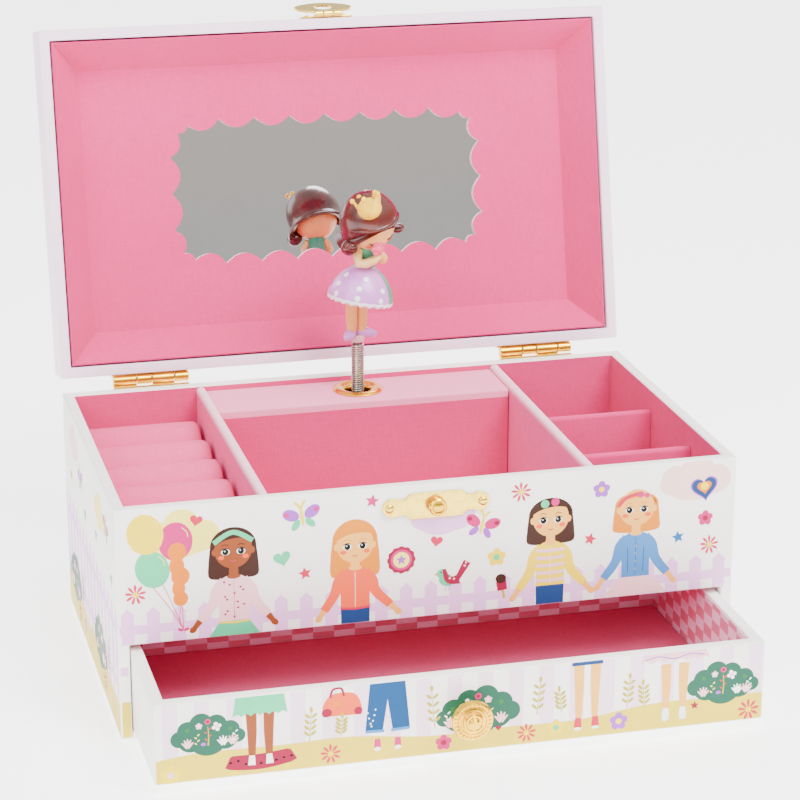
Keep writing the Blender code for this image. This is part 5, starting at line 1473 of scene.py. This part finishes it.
def build_drawer_print():
    low, high = node_box("drawer_front")
    left, right, bottom, top = low.x + 0.5, high.x - 0.5, low.z + 0.45, high.z - 0.45
    pitch = 9.2
    for k in range(int((right - left) / pitch) + 1):
        u = left + 2.0 + k * pitch
        stamp("drawer", "stripe", 0,
              [(u, bottom), (min(u + 4.4, right), bottom), (min(u + 4.4, right), top), (u, top)])
    ground = [(left + (right - left) * k / 40, 10.6 + 1.5 * math.sin(k * 0.21) + 0.5 * math.sin(k * 0.63))
              for k in range(41)]
    stamp("drawer", "ochre", 1, [(right, bottom), (left, bottom)][::-1] + ground[::-1])
    bush("drawer", -75.7, 14.3, 19.5)
    bush("drawer", 3.3, 12.0, 23.0, -1)
    bush("drawer", 78.3, 13.0, 20.4)
    for u, v, h, lean in ((-46.5, 12.0, 9.0, 0.6), (-37.4, 12.2, 6.0, 0.5), (-9.6, 11.6, 12.0, -1.0),
                          (21.0, 12.4, 10.5, 1.0),
                          (28.5, 12.2, 7.0, -0.8), (48.5, 11.4, 9.5, 0.8), (54.0, 11.0, 7.5, -0.6)):
        sprig("drawer", u, v, h, "sand", lean)
    # first child: mint skirt and a board on wheels
    legs_print(-60.7, 23.5, 8.6, "tan")
    skirt_print("drawer", -60.7, 21.6, top, 7.9, 7.0, "mint", 0.8)
    stamp("drawer", "magenta", 2,
          stroke(curve([(-70.2, 8.0), (-68.6, 7.6), (-60.7, 7.3), (-52.8, 8.2), (-51.2, 8.8)], 6),
                                         [1.7 + 0.7 * math.sin(math.pi * k / 24) for k in range(25)]))
    stamp("drawer", "yellow", 1, oval(-68.4, 4.6, 0.95), oval(-53.2, 5.2, 0.95))
    for side in (-1, 1):
        stamp("drawer", "white", 4,
              stroke([(-60.7 + side * 2.5, 9.4), (-60.7 + side * 2.6, 6.4)], [0.8, 1.1]))
    stamp("drawer", "dark", 3,
          *[oval(-69.4 + 2.2 * k, 7.7 + 1.0 * math.sin(2.7 * k), 0.42, 0.32) for k in range(9)])
    # a holdall and wide trousers
    stamp("drawer", "peach", 3, curve([(-42.6, 18.9), (-42.4, 22.6), (-39.6, 25.6), (-33.6, 25.4),
                                       (-31.4, 22.0), (-31.2, 18.6)], 6))
    stamp("drawer", "magenta", 4, oval(-41.4, 20.0, 1.5, 1.3), oval(-32.2, 19.8, 1.2, 1.2))
    line("drawer", "magenta", 4, [(-40.4, 24.6), (-39.6, 27.0), (-37.2, 27.2), (-36.4, 24.8)], 0.32)
    stamp("drawer", "orange", 5, stroke([(-39.6, 22.6), (-37.2, 22.6)], [0.8, 0.8]))
    for side in (-1, 1):
        stamp("drawer", "jeans", 3,
              [(-23.6 - side * 0.1, top), (-23.6 + side * 5.2, top), (-23.6 + side * 6.6, 12.6),
                                     (-23.6 + side * 1.5, 12.4), (-23.6, 22.5)])
        stamp("drawer", "sky", 4,
              stroke([(-23.6 + side * 1.0, 12.6), (-23.6 + side * 6.5, 12.8)], [0.45, 0.45]))
        stamp("drawer", "rose", 3,
              stroke([(-23.6 + side * 3.0, 10.2), (-23.6 + side * 3.0, 7.4)], [0.8, 1.0]))
        stamp("drawer", "white", 4, oval(-23.6 + side * 3.0, 7.1, 1.0, 0.6))
    stamp("drawer", "white", 4,
          *[oval(-28.4 + 1.5 * math.sin(3.3 * k), 14.4 + 0.85 * k, 0.26) for k in range(8)])
    # bare legs under shorts, and under a frilled skirt
    legs_print(36.2, top, 9.6, "skin")
    stamp("drawer", "denim", 4, [(31.4, top - 1.1), (41.0, top - 1.1), (40.8, top), (31.6, top)])
    legs_print(63.2, 24.0, 9.8, "skin", 2.8)
    skirt_print("drawer", 63.2, 24.6, top, 10.8, 9.6, "blush", 0.9)
    line("drawer", "lilac", 5, [(54.0, 25.8), (58.0, 26.6), (63.0, 25.6), (68.0, 26.7), (72.4, 25.9)], 0.16)
    for u, colour in ((36.2, "coral"), (63.2, "white")):
        for side in (-1, 1):
            stamp("drawer", colour, 4, stroke([(u + side * 2.6, 9.9), (u + side * 2.7, 6.9)], [0.85, 1.2]))
            stamp("drawer", "white", 5, oval(u + side * 2.7, 6.4, 1.15, 0.5))
    daisy("drawer", 17.9, 7.0, 2.9)
    daisy("drawer", 86.6, 6.6, 3.3)
    daisy("drawer", -40.4, 7.2, 3.0)
    flower("drawer", 46.1, 7.4, 2.7, "lilac")
    flower("drawer", 26.9, 7.6, 2.5, "yellow", "mint")
    flower("drawer", -86.6, 5.9, 3.0, "yellow", "blush")
    flower("drawer", -7.0, 6.8, 2.4, "rose", "magenta")
    stamp("drawer", "magenta", 5, star(69.6, 9.8, 1.4), heart(9.4, 9.6, 0.9))


def build_side_prints():
    """The walls that face away: the same garden, with fewer figures."""
    half_d = (CASE_HIGH.y - CASE_LOW.y) / 2 - 0.6
    for panel, half in (("left", half_d), ("right", half_d), ("back", CASE_HIGH.x - 0.6)):
        fence(panel, -half, half, 12.0, 34.8, 41.6)
        stamp(panel, "fence", 0, [(-half, 15.6), (half, 15.6), (half, 18.4), (-half, 18.4)])
        ground = [(-half + 2 * half * k / 30, 12.2 + 0.9 * math.sin(k * 0.4)) for k in range(31)]
        stamp(panel, "ochre", 1, [(-half, 0.9), (half, 0.9)] + ground[::-1])
        for k in range(int(half / 19)):
            u = -half + 14 + k * 2 * half / int(half / 19)
            bush(panel, u + 4, 11.6, 24.0, 1 if k % 2 else -1)
            sprig(panel, u + 21, 12.0, 11.0, "sand", 0.8)
            daisy(panel, u + 12, 6.2, 2.9)
            flower(panel, u + 24, 6.4, 2.4, ("lilac", "yellow", "rose")[k % 3], "blush")
            cloud(panel, u + 10, 62.0 - 3.0 * (k % 2), 19.0, ("cloud", "cream", "fence")[k % 3])
            butterfly(panel, u + 24, 56.0 + 4.0 * (k % 2), 4.6, ("lilac", "rose")[k % 2], "mint",
                      10 - 22 * (k % 2))
            stamp(panel, ("coral", "aqua", "rose")[k % 3], 3, star(u + 2, 50.0, 2.1))
            stamp(panel, "mint", 3, heart(u + 33 if u + 33 < half - 3 else u - 8, 47.5, 2.2, 10))
    line("front", "ochre", 1, [(-94.5, 1.0), (-93.3, 1.0)], 0.1)
    for panel, sign in (("front", -1), ("front", 1)):
        edge, inner = sign * 94.4, sign * 91.9
        stamp(panel, "ochre", 1, [(edge, 0.9), (inner, 0.9), (inner, 12.2), (edge, 12.2)])
    for k in range(9):
        u, v = -74 + 18.5 * k, (-38, 6, 34, -14)[k % 4] + (k * 5) % 9
        daisy("lid", u, v, 3.2)
        stamp("lid", ("coral", "aqua", "rose", "mint")[k % 4], 3,
              star(u + 9, v - 16 if v > 0 else v + 22, 2.4))
        stamp("lid", ("mint", "coral", "lilac")[k % 3], 3,
              heart(u + 4, v + 13 if v < 20 else v - 30, 2.6, -12 + 6 * (k % 4)))
    for u, v, w, colour in ((-60, 22, 30, "cloud"), (18, -22, 34, "cream"), (62, 26, 28, "fence"),
                            (-40, -28, 26, "fence")):
        cloud("lid", u, v, w, colour)
    for u, v, turn in ((-30, 6, 14), (34, 12, -16), (74, -20, 8), (-80, -4, -10)):
        butterfly("lid", u, v, 6.0, "lilac" if turn > 0 else "rose", "mint", turn)


# ---------------------------------------------------------------- stage
def build_stage():
    bm = bmesh.new()
    bmesh.ops.create_grid(bm, x_segments=2, y_segments=2, size=3.0)
    mesh = bpy.data.meshes.new("floor")
    bm.to_mesh(mesh)
    bm.free()
    floor = bpy.data.objects.new("floor", mesh)
    bpy.context.scene.collection.objects.link(floor)
    mat = blank("floor_white", 0.7)
    wide = cloudy(mat, coordinates(mat), 2.0)
    wire(mat, "Base Color", blended(mat, wide, (0.93, 0.93, 0.93, 1), (0.91, 0.91, 0.91, 1)))
    shader = mat.node_tree.nodes["Principled BSDF"]
    shader.inputs["Emission Color"].default_value = (1.0, 1.0, 1.0, 1.0)
    shader.inputs["Emission Strength"].default_value = 2.4
    mesh.materials.append(mat)
    floor.location.z = FRAME_BOX[0][2] - 0.0002


def area_light(name, place, target, size, power, colour=(1, 1, 1)):
    data = bpy.data.lights.new(name, "AREA")
    data.shape = "RECTANGLE"
    data.size, data.size_y = size
    data.energy = power
    data.color = colour
    lamp = bpy.data.objects.new(name, data)
    bpy.context.scene.collection.objects.link(lamp)
    lamp.location = place
    lamp.rotation_euler = (Vector(target) - Vector(place)).to_track_quat("-Z", "Y").to_euler()


def build_light():
    area_light("key", (0.45, -0.7, 1.25), (0, 0, 0.08), (0.8, 0.7), 34.0)
    area_light("fill", (-0.9, -0.8, 0.8), (0, 0, 0.08), (0.8, 0.8), 9.0)
    world = bpy.data.worlds.new("studio")
    world.use_nodes = True
    bpy.context.scene.world = world
    tree = world.node_tree
    source = tree.nodes.new("ShaderNodeTexCoord")
    split = tree.nodes.new("ShaderNodeSeparateXYZ")
    tree.links.new(source.outputs["Generated"], split.inputs[0])
    ramp = tree.nodes.new("ShaderNodeValToRGB")
    tree.links.new(split.outputs["Z"], ramp.inputs[0])
    stops = ((0.0, (0.30, 0.30, 0.31)), (0.10, (0.29, 0.305, 0.32)), (0.21, (0.36, 0.325, 0.30)),
             (0.30, (0.6, 0.59, 0.58)),
             (0.5, (1.0, 1.0, 1.0)))
    while len(ramp.color_ramp.elements) < len(stops):
        ramp.color_ramp.elements.new(0.5)
    for element, (place, colour) in zip(ramp.color_ramp.elements, stops):
        element.position = place
        element.color = (*colour, 1.0)
    background = tree.nodes["Background"]
    tree.links.new(ramp.outputs["Color"], background.inputs["Color"])
    background.inputs["Strength"].default_value = 1.85


def build_camera():
    data = bpy.data.cameras.new("camera")
    data.lens = 120.0
    data.sensor_width = 36.0
    data.clip_start = 0.01
    camera = bpy.data.objects.new("camera", data)
    bpy.context.scene.collection.objects.link(camera)
    camera.location = (-0.19152, -0.76903, 0.34172)
    camera.rotation_euler = (math.radians(90 - 18.267), 0, math.radians(-14.263))
    bpy.context.scene.camera = camera


build_camera()
build_light()
build_stage()
build_case_shell()
build_linings()
build_compartments()
build_rolls()
build_platform()
build_drawer_shell()
build_lid_shell()
build_lid_lining()
build_hinges()
build_catch()
build_hasp()
build_drawer_knob()
build_collar_and_spring()
build_key()
build_movement()
build_dancer()
build_front_print()
build_drawer_print()
build_side_prints()
finish_prints()
